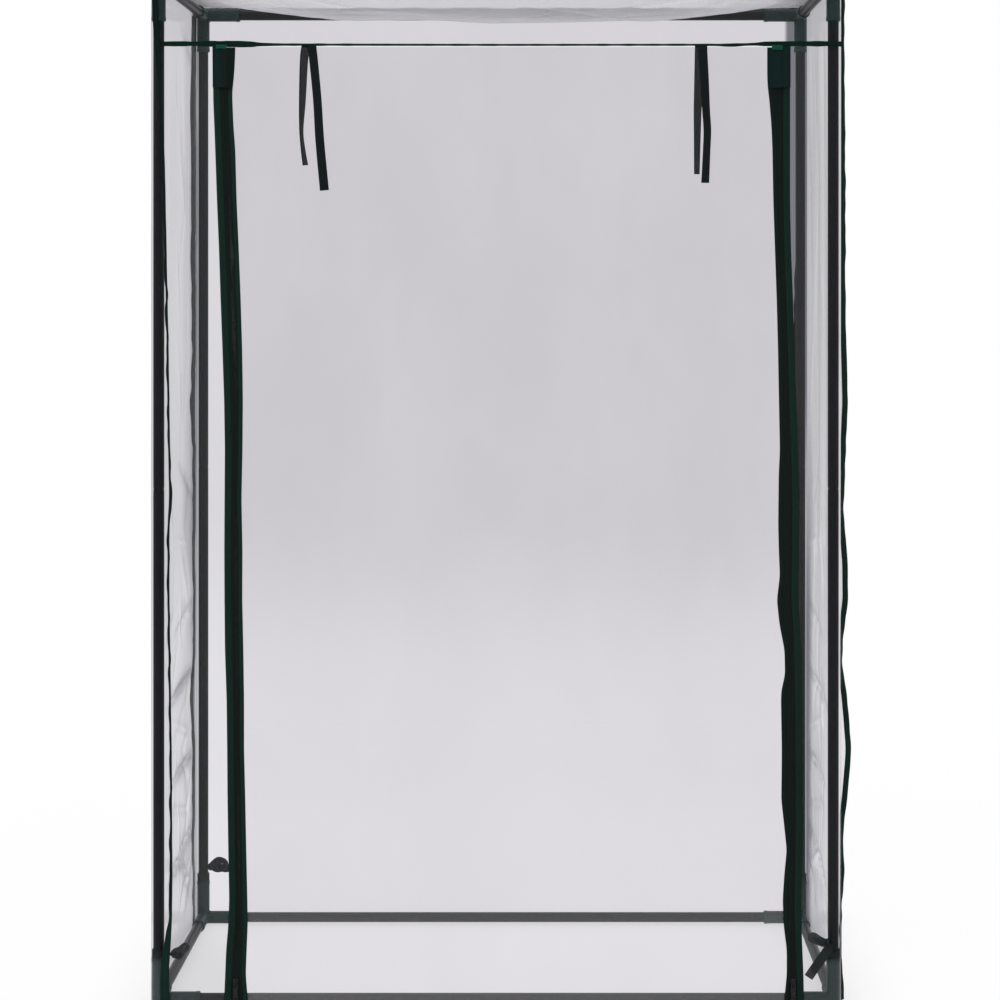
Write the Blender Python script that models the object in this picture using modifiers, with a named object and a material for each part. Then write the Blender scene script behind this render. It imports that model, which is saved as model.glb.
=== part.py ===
"""Tomato greenhouse: a push-fit tube frame under a clear sewn cover with a zipped door.

Metres, +Z up. The origin is on the floor under the middle of the frame, and the door faces -Y.
"""

import math

import bmesh
import bpy
from mathutils import Matrix, Vector

# Clearance between neighbouring pieces
GAP = 0.0003

# Frame, measured between tube centres
FRAME_WIDTH = 0.980
FRAME_DEPTH = 0.480
FRAME_HEIGHT = 1.480

# Tubes
TUBE_DIAMETER = 0.016
TUBE_WALL = 0.0008
POST_JOINT_HEIGHT = 0.750
SWAGE_LENGTH = 0.040
SWAGE_TAPER = 0.004
TUBE_SIDES = 16

# Corner connectors
CONNECTOR_WALL = 0.0017
CONNECTOR_REACH = 0.060
SOCKET_FLOOR = 0.014
GUSSET_REACH = 0.026
GUSSET_THICKNESS = 0.008
FOOT_DIAMETER = 0.015
FOOT_STANDOFF = 0.0005
ARM_OVERLAP = 0.0002
CONNECTOR_SIDES = 14

# Cover
FILM_THICKNESS = 0.001
COVER_CLEARANCE = 0.0008
HEM_HEIGHT = 0.003
HEADER_DROP = 0.0955
ROOF_SAG = 0.043
SIDE_BULGE = 0.008
SIDE_BULGE_AT_FOOT = 0.35
SIDE_CREASE_SHARE = 0.3
BACK_BULGE = 0.004
DOOR_HOLLOW = 0.004
STRIP_HOLLOW = 0.002
COLUMN_MARGIN = 0.0012
LEVEL_COUNT = 18

# The loose cover has slipped round the frame, more at its foot than at its top
SLIP_FOOT = 0.0275
SLIP_TOP = 0.0085

# Creases left by packing, which pinch the standing seams
CREASE_FOOT = 0.030
CREASE_PITCH = 0.235

# Sewn bindings
BINDING_WIDTH = 0.008
BINDING_THICKNESS = 0.0032
ROOF_BINDING_WIDTH = 0.0065
SEAM_ROOT = 0.001
SEAM_SWELL = 0.0055
SEAM_FADE = 0.080
SEAM_FOOT = 0.009
HEADER_BINDING_HEIGHT = 0.005
HEADER_BINDING_DEPTH = 0.0034
HEADER_BINDING_PROUD = 0.0025

# Door and zips
ZIP_INSET = 0.0865
ZIP_FOOT = 0.010
ZIP_HEAD_GAP = 0.0045
CHAIN_WIDTH = 0.0070
CHAIN_THICKNESS = 0.0026
CHAIN_SLIT = 0.0016
CHAIN_STOP = 0.006
TAPE_WIDTH = 0.0125
TAPE_THICKNESS = 0.001
TAPE_PATCH_EXTRA = 0.002
TAPE_PATCH_HEIGHT = 0.060
TAPE_CLEARANCE = 0.0004
FILM_UNDER_TAPE = 0.010
DOOR_HINGE_DROP = 0.0010
DOOR_TAPE_DROP = 0.0034

# Zip sliders and pull tabs
SLIDER_WIDTH = 0.0074
SLIDER_LENGTH = 0.014
SLIDER_PLATE = 0.001
SLIDER_WEB = 0.001
SLIDER_WEB_LENGTH = 0.008
SLIDER_REST = 0.036
BAIL_RADIUS = 0.004
BAIL_WIRE = 0.0016
TAB_AXIS_HEIGHT = 0.0016
TAB_WIDTH = 0.007
TAB_LENGTH = 0.026
TAB_THICKNESS = 0.0012
TAB_BAR = 0.0014
TAB_WINDOW_WIDTH = 0.0030
TAB_WINDOW_LENGTH = 0.0046
TAB_HOLE_DIAMETER = 0.003
TAB_HOLE_INSET = 0.004

# Roll-up straps: the head's place as a share of the zips' spacing, the foot's sideways drift, and the bow between
STRAP_WIDTH = 0.013
STRAP_THICKNESS = 0.0012
OUTER_STRAP_DROP = 0.0044
INNER_STRAP_LAP = 0.002
STRAP_STAND_OFF = 0.003
LEFT_OUTER_STRAP = {"share": -0.331, "length": 0.203, "drift": 0.018, "bow": 0.003}
LEFT_INNER_STRAP = {"share": -0.3445, "length": 0.176, "drift": 0.000, "bow": -0.006}
RIGHT_OUTER_STRAP = {"share": 0.374, "length": 0.192, "drift": 0.002, "bow": 0.003}
RIGHT_INNER_STRAP = {"share": 0.368, "length": 0.184, "drift": -0.005, "bow": -0.002}

# Post ties: the rise of each free end along its run, and its turn away from the front or back
TIE_WIDTH = 0.012
TIE_THICKNESS = 0.0012
TIE_KNOT = 0.013
TIE_TAIL_LENGTH = 0.040
TIE_TAIL_WIDTH = 0.011
TIE_TAIL_THICKNESS = 0.0018
FRONT_LEFT_TIE = {"rise": 0.10, "turn": 0.2}
FRONT_RIGHT_TIE = {"rise": -0.90, "turn": 0.1}
BACK_RIGHT_TIE = {"rise": -0.60, "turn": 3.0}
BACK_LEFT_TIE = {"rise": 0.75, "turn": 0.2}

# Closest vertices kept apart in a solid made from a curve
CURVE_WELD = 0.00001

# Sizes worked out from those above
SOCKET_DIAMETER = TUBE_DIAMETER + 2 * GAP
CONNECTOR_DIAMETER = SOCKET_DIAMETER + 2 * CONNECTOR_WALL
HALF_WIDTH = FRAME_WIDTH / 2
HALF_DEPTH = FRAME_DEPTH / 2
FRAME_FOOT = CONNECTOR_DIAMETER / 2 + FOOT_STANDOFF
FRAME_TOP = FRAME_FOOT + FRAME_HEIGHT
HEADER_HEIGHT = FRAME_TOP - HEADER_DROP
COVER_OFFSET = CONNECTOR_DIAMETER / 2 + COVER_CLEARANCE + FILM_THICKNESS / 2
BEND = COVER_OFFSET * math.pi / 2
ROOF_SEAM = BEND / 2
COVER_FRONT = -HALF_DEPTH - COVER_OFFSET
ZIP_SPACING = FRAME_WIDTH - 2 * ZIP_INSET
COVER_ROUND = 2 * FRAME_WIDTH + 2 * FRAME_DEPTH + 4 * BEND
HEADER_LOW = HEADER_HEIGHT - HEADER_BINDING_HEIGHT / 2
HEADER_HIGH = HEADER_HEIGHT + HEADER_BINDING_HEIGHT / 2
HINGE_HEIGHT = HEADER_LOW - DOOR_HINGE_DROP
HINGE_POINT = Vector((0, COVER_FRONT, HINGE_HEIGHT))
ZIP_HEAD = HEADER_LOW - ZIP_HEAD_GAP
STRAP_FOOT = HINGE_HEIGHT - LEFT_OUTER_STRAP["length"]
TAPE_OUT = (FILM_THICKNESS + TAPE_THICKNESS) / 2 + GAP
TAPE_START = CHAIN_WIDTH / 2 + TAPE_CLEARANCE
FILM_FROM_ZIP = TAPE_START + TAPE_WIDTH - FILM_UNDER_TAPE
OUTER_STRAP_OUT = (FILM_THICKNESS + STRAP_THICKNESS) / 2 + GAP
INNER_STRAP_OUT = HEADER_BINDING_PROUD - HEADER_BINDING_DEPTH - GAP - STRAP_THICKNESS / 2
TIE_HEIGHT = FRAME_FOOT + CONNECTOR_REACH + GAP + TIE_WIDTH / 2

# Corners in order round the cover from above, and the places of their seams before the slip
FRONT_LEFT, FRONT_RIGHT, BACK_RIGHT, BACK_LEFT, FRONT_LEFT_AGAIN = range(5)
SIDE_LENGTHS = (FRAME_WIDTH, FRAME_DEPTH, FRAME_WIDTH, FRAME_DEPTH)
CORNER_SIGNS = ((-1, -1), (1, -1), (1, 1), (-1, 1))
CORNER_NAMES = ("front_left", "front_right", "back_right", "back_left")

PARTS = bpy.data.collections.new("tomato_greenhouse")
CUTTERS = bpy.data.collections.new("cutters")


# Scene and materials
def clear_scene():
    for thing in list(bpy.data.objects):
        bpy.data.objects.remove(thing)
    bpy.context.scene.collection.children.link(PARTS)
    bpy.context.scene.collection.children.link(CUTTERS)


def material(name, colour, roughness, metallic=0.0, alpha=1.0):
    made = bpy.data.materials.get(name) or bpy.data.materials.new(name)
    made.use_nodes = True
    shader = made.node_tree.nodes["Principled BSDF"]
    shader.inputs["Base Color"].default_value = (*colour, 1.0)
    shader.inputs["Roughness"].default_value = roughness
    shader.inputs["Metallic"].default_value = metallic
    shader.inputs["Alpha"].default_value = alpha
    return made


def coated_steel():
    return material("coated_steel", (0.020, 0.022, 0.024), 0.42)


def moulded_plastic():
    return material("moulded_plastic", (0.045, 0.068, 0.065), 0.5)


def clear_film():
    return material("clear_film", (0.86, 0.88, 0.89), 0.12, alpha=0.25)


def green_tape():
    return material("green_tape", (0.010, 0.060, 0.038), 0.8)


def zip_tape():
    return material("zip_tape", (0.012, 0.018, 0.017), 0.85)


def zip_coil():
    return material("zip_coil", (0.020, 0.025, 0.024), 0.5)


def zip_metal():
    return material("zip_metal", (0.10, 0.10, 0.10), 0.35, metallic=0.9)


def strap_webbing():
    return material("strap_webbing", (0.014, 0.018, 0.018), 0.85)


# Mesh helpers
def add_object(name, mesh, finish, collection=PARTS):
    made = bpy.data.objects.new(name, mesh)
    if finish:
        mesh.materials.clear()
        mesh.materials.append(finish)
    collection.objects.link(made)
    return made


def mesh_from(form, name):
    mesh = bpy.data.meshes.new(name)
    form.to_mesh(mesh)
    form.free()
    return mesh


def smooth(mesh):
    mesh.shade_smooth()
    mesh.set_sharp_from_angle(angle=math.radians(35))
    return mesh


def box_mesh(name, size, centre):
    form = bmesh.new()
    bmesh.ops.create_cube(form, size=1.0)
    bmesh.ops.scale(form, vec=size, verts=form.verts)
    bmesh.ops.translate(form, vec=centre, verts=form.verts)
    return mesh_from(form, name)


def rod_mesh(name, diameter, start, end, sides):
    """A cylinder from one point to another."""
    start = Vector(start)
    span = Vector(end) - start
    turn = span.to_track_quat("Z", "Y").to_matrix().to_4x4()
    place = Matrix.Translation(start + span / 2) @ turn
    form = bmesh.new()
    bmesh.ops.create_cone(
        form,
        cap_ends=True,
        segments=sides,
        radius1=diameter / 2,
        radius2=diameter / 2,
        depth=span.length,
        matrix=place,
    )
    return mesh_from(form, name)


def cutter(mesh):
    tool = add_object(mesh.name, mesh, None, CUTTERS)
    tool.hide_render = True
    tool.display_type = "WIRE"
    return tool


def combine(target, mesh, operation):
    change = target.modifiers.new(mesh.name, "BOOLEAN")
    change.operation = operation
    change.object = cutter(mesh)


def put(target, place):
    """Moves a piece and the shapes joined to it or cut from it."""
    target.matrix_world = place
    for change in target.modifiers:
        if change.type == "BOOLEAN":
            change.object.matrix_world = place


def join(target, mesh):
    combine(target, mesh, "UNION")


def cut(target, mesh):
    combine(target, mesh, "DIFFERENCE")


def curve_mesh(name, curve):
    """The closed solid that a filled or bevelled curve makes."""
    holder = bpy.data.objects.new(name, curve)
    CUTTERS.objects.link(holder)
    bpy.context.view_layer.update()
    graph = bpy.context.evaluated_depsgraph_get()
    mesh = bpy.data.meshes.new_from_object(holder.evaluated_get(graph))
    bpy.data.objects.remove(holder)
    form = bmesh.new()
    form.from_mesh(mesh)
    bmesh.ops.remove_doubles(form, verts=form.verts, dist=CURVE_WELD)
    bmesh.ops.recalc_face_normals(form, faces=form.faces)
    form.to_mesh(mesh)
    form.free()
    mesh.name = name
    return mesh


def turned(name, outline, sides):
    """A ring-shaped solid: a closed outline of (radius, height) points swept round Z."""
    mesh = bpy.data.meshes.new(name)
    points = [(radius, 0, height) for radius, height in outline]
    edges = [(i, (i + 1) % len(points)) for i in range(len(points))]
    mesh.from_pydata(points, edges, [])
    made = add_object(name, mesh, None)
    sweep = made.modifiers.new("sweep", "SCREW")
    sweep.steps = sides
    sweep.render_steps = sides
    sweep.use_merge_vertices = True
    sweep.merge_threshold = 0.00005
    sweep.use_smooth_shade = True
    return made


def sheet(name, columns, rows, place, thickness, finish, pivot=Vector()):
    """A sheet with its middle where place(column, row) says, given its thickness on both sides."""
    form = bmesh.new()
    bmesh.ops.create_grid(form, x_segments=columns, y_segments=rows, size=1.0)
    for vert in form.verts:
        column = round((vert.co.x + 1) / 2 * columns)
        row = round((vert.co.y + 1) / 2 * rows)
        vert.co = place(column, row) - pivot
    made = add_object(name, mesh_from(form, name), finish)
    made.location = pivot
    wall = made.modifiers.new("thickness", "SOLIDIFY")
    wall.thickness = thickness
    wall.offset = 0
    return made


def empty(name, place, parent=None):
    made = bpy.data.objects.new(name, None)
    made.empty_display_size = 0.02
    PARTS.objects.link(made)
    made.location = place
    attach(made, parent)
    return made


def attach(child, parent):
    """Parents a piece and keeps it where it is."""
    if parent:
        bpy.context.view_layer.update()
        child.parent = parent
        child.matrix_parent_inverse = parent.matrix_world.inverted()


def steps(low, high, count):
    return [low + (high - low) * i / count for i in range(count + 1)]


# Frame
def make_connector(name, corner, top):
    """A three-way socket; the top ones are turned over and have no foot."""
    arms = (Vector((1, 0, 0)), Vector((0, 1, 0)), Vector((0, 0, 1)))
    body = add_object(
        name,
        rod_mesh(name, CONNECTOR_DIAMETER, (0, 0, 0), arms[0] * CONNECTOR_REACH, CONNECTOR_SIDES),
        moulded_plastic(),
    )
    for number, arm in enumerate(arms[1:]):
        ends = (arm * -ARM_OVERLAP, arm * CONNECTOR_REACH)
        join(body, rod_mesh(f"{name}_arm_{number}", CONNECTOR_DIAMETER, *ends, CONNECTOR_SIDES))
    core = bmesh.new()
    bmesh.ops.create_uvsphere(
        core, u_segments=CONNECTOR_SIDES, v_segments=CONNECTOR_SIDES // 2, radius=CONNECTOR_DIAMETER / 2
    )
    join(body, mesh_from(core, f"{name}_core"))
    for number in range(3):
        first, second = arms[number], arms[(number + 1) % 3]
        join(body, gusset_mesh(f"{name}_gusset_{number}", first, second))
    if not top:
        base = Vector((0, 0, -FRAME_FOOT))
        join(body, rod_mesh(f"{name}_foot", FOOT_DIAMETER, base, (0, 0, 0), CONNECTOR_SIDES))
    for number, arm in enumerate(arms):
        ends = (arm * SOCKET_FLOOR, arm * (CONNECTOR_REACH + SOCKET_FLOOR))
        cut(body, rod_mesh(f"{name}_socket_{number}", SOCKET_DIAMETER, *ends, TUBE_SIDES))
    across, along = CORNER_SIGNS[corner]
    turn = Matrix.Rotation(corner * math.pi / 2, 4, "Z")
    if top:
        turn = turn @ Matrix.Rotation(math.pi / 2, 4, "Z") @ Matrix.Rotation(math.pi, 4, "X")
    height = FRAME_TOP if top else FRAME_FOOT
    put(body, Matrix.Translation((across * HALF_WIDTH, along * HALF_DEPTH, height)) @ turn)
    smooth(body.data)


def gusset_mesh(name, first, second):
    """A three-cornered web that fills the inner corner between two arms."""
    outline = bpy.data.curves.new(name, "CURVE")
    outline.dimensions = "2D"
    outline.fill_mode = "BOTH"
    outline.extrude = GUSSET_THICKNESS / 2
    line = outline.splines.new("POLY")
    line.points.add(2)
    line.use_cyclic_u = True
    corners = ((0, 0), (GUSSET_REACH, 0), (0, GUSSET_REACH))
    for point, (x, y) in zip(line.points, corners):
        point.co = (x, y, 0, 1)
    mesh = curve_mesh(name, outline)
    turn = Matrix((first, second, first.cross(second))).transposed()
    mesh.transform(turn.to_4x4())
    return mesh


def make_tube(name, length, finish):
    """A straight tube up Z from its lower end."""
    outer = TUBE_DIAMETER / 2
    inner = outer - TUBE_WALL
    tube = turned(name, [(outer, length), (outer, 0), (inner, 0), (inner, length)], TUBE_SIDES)
    tube.data.materials.append(finish)
    return tube


def make_swaged_tube(name, length, finish):
    """A tube whose lower end is drawn in to enter the tube below it."""
    outer = TUBE_DIAMETER / 2
    inner = outer - TUBE_WALL
    neck = inner - GAP
    bore = neck - TUBE_WALL
    outline = [
        (outer, length),
        (outer, 0),
        (neck, 0),
        (neck, -SWAGE_LENGTH),
        (bore, -SWAGE_LENGTH),
        (bore, SWAGE_TAPER),
        (inner, 2 * SWAGE_TAPER),
        (inner, length),
    ]
    tube = turned(name, outline, TUBE_SIDES)
    tube.data.materials.append(finish)
    return tube


def make_frame():
    end_gap = SOCKET_FLOOR + GAP
    for corner, name in enumerate(CORNER_NAMES):
        make_connector(f"connector_bottom_{name}", corner, top=False)
        make_connector(f"connector_top_{name}", corner, top=True)
        across, along = CORNER_SIGNS[corner]
        x, y = across * HALF_WIDTH, along * HALF_DEPTH
        foot = FRAME_FOOT + end_gap
        lower = make_tube(f"post_lower_{name}", POST_JOINT_HEIGHT - foot, coated_steel())
        lower.location = (x, y, foot)
        start = POST_JOINT_HEIGHT + GAP
        upper = make_swaged_tube(f"post_upper_{name}", FRAME_TOP - end_gap - start, coated_steel())
        upper.location = (x, y, start)
    for level, height in (("bottom", FRAME_FOOT), ("top", FRAME_TOP)):
        for side, y in (("front", -HALF_DEPTH), ("back", HALF_DEPTH)):
            rail = make_tube(f"rail_{level}_{side}", FRAME_WIDTH - 2 * end_gap, coated_steel())
            rail.rotation_euler = (0, math.pi / 2, 0)
            rail.location = (end_gap - HALF_WIDTH, y, height)
        for side, x in (("left", -HALF_WIDTH), ("right", HALF_WIDTH)):
            rail = make_tube(f"side_rail_{level}_{side}", FRAME_DEPTH - 2 * end_gap, coated_steel())
            rail.rotation_euler = (-math.pi / 2, 0, 0)
            rail.location = (x, end_gap - HALF_DEPTH, height)


# The cover's surface
def walk_round(place):
    """Where a place round the cover is: the point of the frame behind it, and the outward angle.

    Places are metres round the film, anticlockwise from above, from the middle of the front.
    """
    left = (place + HALF_WIDTH) % COVER_ROUND
    for side, length in enumerate(SIDE_LENGTHS):
        angle = (side - 1) * math.pi / 2
        across, along = CORNER_SIGNS[side]
        start = Vector((across * HALF_WIDTH, along * HALF_DEPTH, 0))
        forward = Vector((-math.sin(angle), math.cos(angle), 0))
        if left <= length:
            return start + forward * left, angle
        left -= length
        if left <= BEND:
            return start + forward * length, angle + left / COVER_OFFSET
        left -= BEND
    return Vector((-HALF_WIDTH, -HALF_DEPTH, 0)), -math.pi / 2


def cover_point(place, climb, out=0.0):
    """A point of the cover: its place round the film, its climb up it, and how far it stands out.

    The climb is the height up to the top rail, and then goes over the rail.
    """
    base, angle = walk_round(place)
    tilt = max(climb - FRAME_TOP, 0) / COVER_OFFSET
    reach = COVER_OFFSET + out
    outward = Vector((math.cos(angle), math.sin(angle), 0)) * math.cos(tilt)
    return base + outward * reach + Vector((0, 0, min(climb, FRAME_TOP) + reach * math.sin(tilt)))


def slip(height):
    return SLIP_FOOT + (SLIP_TOP - SLIP_FOOT) * height / HEADER_HEIGHT


def corner_seam(corner, height):
    """Place of an upright seam: the middle of its corner's bend, and the slip."""
    place = -HALF_WIDTH - BEND / 2
    for length in SIDE_LENGTHS[:corner]:
        place += BEND + length
    return place + slip(height)


def corner_bend(corner):
    """Place where the film starts to bend round a corner."""
    return corner_seam(corner, 0) - slip(0) - BEND / 2


def seam_rise(height):
    """How far the film stands out at an upright seam: it swells between the creases."""
    wave = math.sin(math.pi * (height - CREASE_FOOT) / CREASE_PITCH) ** 2
    fade = min(max((FRAME_TOP - height) / SEAM_FADE, 0), 1)
    return (SEAM_ROOT + SEAM_SWELL * wave) * fade


def zip_place(side, height):
    return side * ZIP_SPACING / 2 + slip(height)


def arch(share):
    return math.sin(math.pi * min(max(share, 0), 1))


def side_swell(share, height):
    """The side films belly out in their upper half, and draw in at each crease."""
    climb = height / FRAME_TOP
    crease = (1 + math.cos(2 * math.pi * (height - CREASE_FOOT) / CREASE_PITCH)) / 2
    belly = arch(climb) * (SIDE_BULGE_AT_FOOT + (1 - SIDE_BULGE_AT_FOOT) * climb)
    return SIDE_BULGE * arch(share) * belly * (1 - SIDE_CREASE_SHARE * crease)


def back_swell(share, height):
    return BACK_BULGE * arch(share) * arch(height / FRAME_TOP)


def strip_swell(share, height):
    """The narrow strips beside the zips draw in at two heights."""
    climb = height / HEADER_HEIGHT
    return -STRIP_HOLLOW * arch(share) * arch(climb) * arch(2 * climb % 1)


def flat_swell(share, height):
    return 0.0


def door_swell(share, height):
    """The door hangs plain from the header and draws in a little lower down."""
    return -DOOR_HOLLOW * arch(share) * arch(height / STRAP_FOOT)


# Panels
def panel(name, start, end, levels, flat_steps, bend, swell, pivot=Vector()):
    """A wall panel between two edges; an edge gives (place, how far it stands out) at a height.

    A panel that goes round a corner also gets columns along that bend.
    """
    start_foot = SEAM_FOOT if start(HEM_HEIGHT)[1] else 0
    end_foot = SEAM_FOOT if end(HEM_HEIGHT)[1] else 0

    def columns_at(height):
        first, last = start(height)[0], end(height)[0]
        inner_first = first + start_foot
        if bend is None:
            inner_last = last - end_foot
            places = steps(inner_first, inner_last, flat_steps)
            if inner_last < last:
                places.append(last)
        else:
            places = steps(inner_first, bend, flat_steps)
            places += [bend + BEND * i / 3 for i in (1, 2, 3)] + [last]
        if inner_first > first:
            places.insert(0, first)
        final = len(places) - 1
        return [min(place, last - (final - i) * COLUMN_MARGIN) for i, place in enumerate(places)]

    count = len(columns_at(levels[0])) - 1

    def place_of(column, row):
        height = levels[row]
        places = columns_at(height)
        if column == 0:
            out = start(height)[1]
        elif column == count:
            out = end(height)[1]
        else:
            out = swell((places[column] - places[0]) / (places[-1] - places[0]), height)
        return cover_point(places[column], height, out)

    return sheet(name, count, len(levels) - 1, place_of, FILM_THICKNESS, clear_film(), pivot)


def seam_edge(corner, direction):
    """A panel's edge at an upright seam, a little before or after the seam's middle."""
    half = FILM_THICKNESS / 2 + GAP

    def edge(height):
        return corner_seam(corner, height) + direction * half, seam_rise(height)

    return edge


def zip_edge(side, direction):
    def edge(height):
        return zip_place(side, height) + direction * FILM_FROM_ZIP, 0

    return edge


def make_panels():
    """The cover's fixed film."""
    over_rail = [FRAME_TOP + ROOF_SEAM / 2, FRAME_TOP + ROOF_SEAM - FILM_THICKNESS / 2 - GAP]
    lower_levels = steps(HEM_HEIGHT, HEADER_LOW - GAP, LEVEL_COUNT)
    upper_levels = steps(HEADER_HIGH + GAP, FRAME_TOP, 2) + over_rail
    wall_levels = lower_levels + upper_levels
    panels = (
        ("right", seam_edge(FRONT_RIGHT, 1), seam_edge(BACK_RIGHT, -1), wall_levels, 5, side_swell),
        ("back", seam_edge(BACK_RIGHT, 1), seam_edge(BACK_LEFT, -1), wall_levels, 6, back_swell),
        ("left", seam_edge(BACK_LEFT, 1), seam_edge(FRONT_LEFT_AGAIN, -1), wall_levels, 5, side_swell),
        ("front_left", seam_edge(FRONT_LEFT, 1), zip_edge(-1, -1), lower_levels, 2, strip_swell),
        ("front_right", zip_edge(1, 1), seam_edge(FRONT_RIGHT, -1), lower_levels, 2, strip_swell),
        ("header", seam_edge(FRONT_LEFT, 1), seam_edge(FRONT_RIGHT, -1), upper_levels, 8, flat_swell),
    )
    last_bends = {
        "right": corner_bend(BACK_RIGHT),
        "back": corner_bend(BACK_LEFT),
        "left": corner_bend(FRONT_LEFT_AGAIN),
        "front_right": corner_bend(FRONT_RIGHT),
        "header": corner_bend(FRONT_RIGHT),
    }
    for name, start, end, levels, flat_steps, swell in panels:
        panel(f"panel_{name}", start, end, levels, flat_steps, last_bends.get(name), swell)
    make_roof()


def roof_marks(half_length, count):
    """Distances across the roof film from its middle: over one rail, across, and over the other."""
    rim = half_length + ROOF_SEAM - FILM_THICKNESS / 2 - GAP
    flat = half_length - CONNECTOR_DIAMETER / 2
    outer = [half_length, half_length + ROOF_SEAM / 2, rim]
    return [-mark for mark in reversed(outer)] + steps(-flat, flat, count) + outer


def roof_point(across, along):
    """A point of the roof: the film sags between the rails and bends over them at its rim."""
    x = min(max(across, -HALF_WIDTH), HALF_WIDTH)
    y = min(max(along, -HALF_DEPTH), HALF_DEPTH)
    over_x, over_y = abs(across - x), abs(along - y)
    tilt = max(over_x, over_y) / COVER_OFFSET
    share_x = min(abs(across) / (HALF_WIDTH - CONNECTOR_DIAMETER / 2), 1)
    share_y = min(abs(along) / (HALF_DEPTH - CONNECTOR_DIAMETER / 2), 1)
    sag = ROOF_SAG * (1 - share_x**4) * (1 - share_y**2)
    if tilt == 0:
        return Vector((x, y, FRAME_TOP + COVER_OFFSET - sag))
    if over_x >= over_y:
        turn = math.pi / 4 * over_y / over_x
    else:
        turn = math.pi / 2 - math.pi / 4 * over_x / over_y
    outward = Vector((math.copysign(math.cos(turn), across), math.copysign(math.sin(turn), along), 0))
    lift = Vector((0, 0, math.cos(tilt)))
    return Vector((x, y, FRAME_TOP)) + (outward * math.sin(tilt) + lift) * COVER_OFFSET


def make_roof():
    across = roof_marks(HALF_WIDTH, 10)
    along = roof_marks(HALF_DEPTH, 6)

    def place_of(column, row):
        return roof_point(across[column], along[row])

    sheet("panel_roof", len(across) - 1, len(along) - 1, place_of, FILM_THICKNESS, clear_film())


# Bindings
def make_bindings():
    levels = steps(HEM_HEIGHT, HEADER_LOW - GAP, LEVEL_COUNT) + steps(HEADER_HIGH + GAP, FRAME_TOP, 2)
    for corner, name in enumerate(CORNER_NAMES):

        def upright(column, row, corner=corner):
            height = levels[row]
            root = seam_rise(height) + FILM_THICKNESS / 2 + GAP
            return cover_point(corner_seam(corner, height), height, root + column * BINDING_WIDTH)

        sheet(f"binding_corner_{name}", 1, len(levels) - 1, upright, BINDING_THICKNESS, green_tape())
    for side, name in enumerate(("front", "right", "back", "left")):
        make_roof_binding(f"binding_roof_{name}", side)
    make_header_binding()


def make_roof_binding(name, side):
    """The bound seam along one edge of the roof, standing out halfway between wall and roof."""
    top = FRAME_TOP + ROOF_SEAM
    start = corner_seam(side, FRAME_TOP) + BINDING_THICKNESS / 2 + GAP
    end = corner_seam(side + 1, FRAME_TOP) - BINDING_THICKNESS / 2 - GAP
    bend = corner_bend(side + 1)
    places = steps(start, bend, 4) + [bend + BEND / 3, bend + BEND * 2 / 3, end]

    def place_of(column, row):
        root = FILM_THICKNESS / 2 + 2 * GAP
        return cover_point(places[column], top, root + row * ROOF_BINDING_WIDTH)

    sheet(name, len(places) - 1, 1, place_of, BINDING_THICKNESS, green_tape())


def make_header_binding():
    start = corner_seam(FRONT_LEFT, HEADER_HEIGHT) + SEAM_FOOT
    end = corner_seam(FRONT_RIGHT, HEADER_HEIGHT) - SEAM_FOOT
    bend = min(corner_bend(FRONT_RIGHT), end - SEAM_FOOT)
    places = steps(start, bend, 6) + [(bend + end) / 2, end]
    out = HEADER_BINDING_PROUD - HEADER_BINDING_DEPTH / 2

    def place_of(column, row):
        return cover_point(places[column], HEADER_LOW + row * HEADER_BINDING_HEIGHT, out)

    sheet("binding_header", len(places) - 1, 1, place_of, HEADER_BINDING_DEPTH, green_tape())


# Zips and door
def make_tape(name, side, direction, head, pivot=Vector()):
    """The woven half of a zip: side is the zip, direction the way the tape lies from its chain."""
    levels = steps(ZIP_FOOT, head - TAPE_PATCH_HEIGHT, 6) + [head]

    def place_of(column, row):
        height = levels[row]
        width = TAPE_WIDTH + (TAPE_PATCH_EXTRA if row == len(levels) - 1 else 0)
        reach = TAPE_START + column * width
        return cover_point(zip_place(side, height) + direction * reach, height, TAPE_OUT)

    return sheet(name, 1, len(levels) - 1, place_of, TAPE_THICKNESS, zip_tape(), pivot)


def zip_line(side):
    """The foot of a zip, and the turn that lays Z along it."""
    foot = cover_point(zip_place(side, ZIP_FOOT), ZIP_FOOT)
    head = cover_point(zip_place(side, ZIP_HEAD), ZIP_HEAD)
    turn = Matrix.Rotation(math.atan2(head.x - foot.x, head.z - foot.z), 4, "Y")
    return foot, head, turn


def make_chain(name, side):
    foot, head, turn = zip_line(side)
    length = (head - foot).length
    middle = Vector((0, -CHAIN_THICKNESS / 2, length / 2))
    chain = add_object(name, box_mesh(name, (CHAIN_WIDTH, CHAIN_THICKNESS, length), middle), zip_coil())
    slit_foot = SLIDER_REST - ZIP_FOOT - SLIDER_WEB_LENGTH / 2 - GAP
    slit_length = length - CHAIN_STOP - slit_foot
    slit_middle = Vector((0, -CHAIN_THICKNESS / 2, slit_foot + slit_length / 2))
    cut(chain, box_mesh(f"{name}_slit", (CHAIN_SLIT, 2 * CHAIN_THICKNESS, slit_length), slit_middle))
    put(chain, Matrix.Translation(foot) @ turn)


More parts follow.
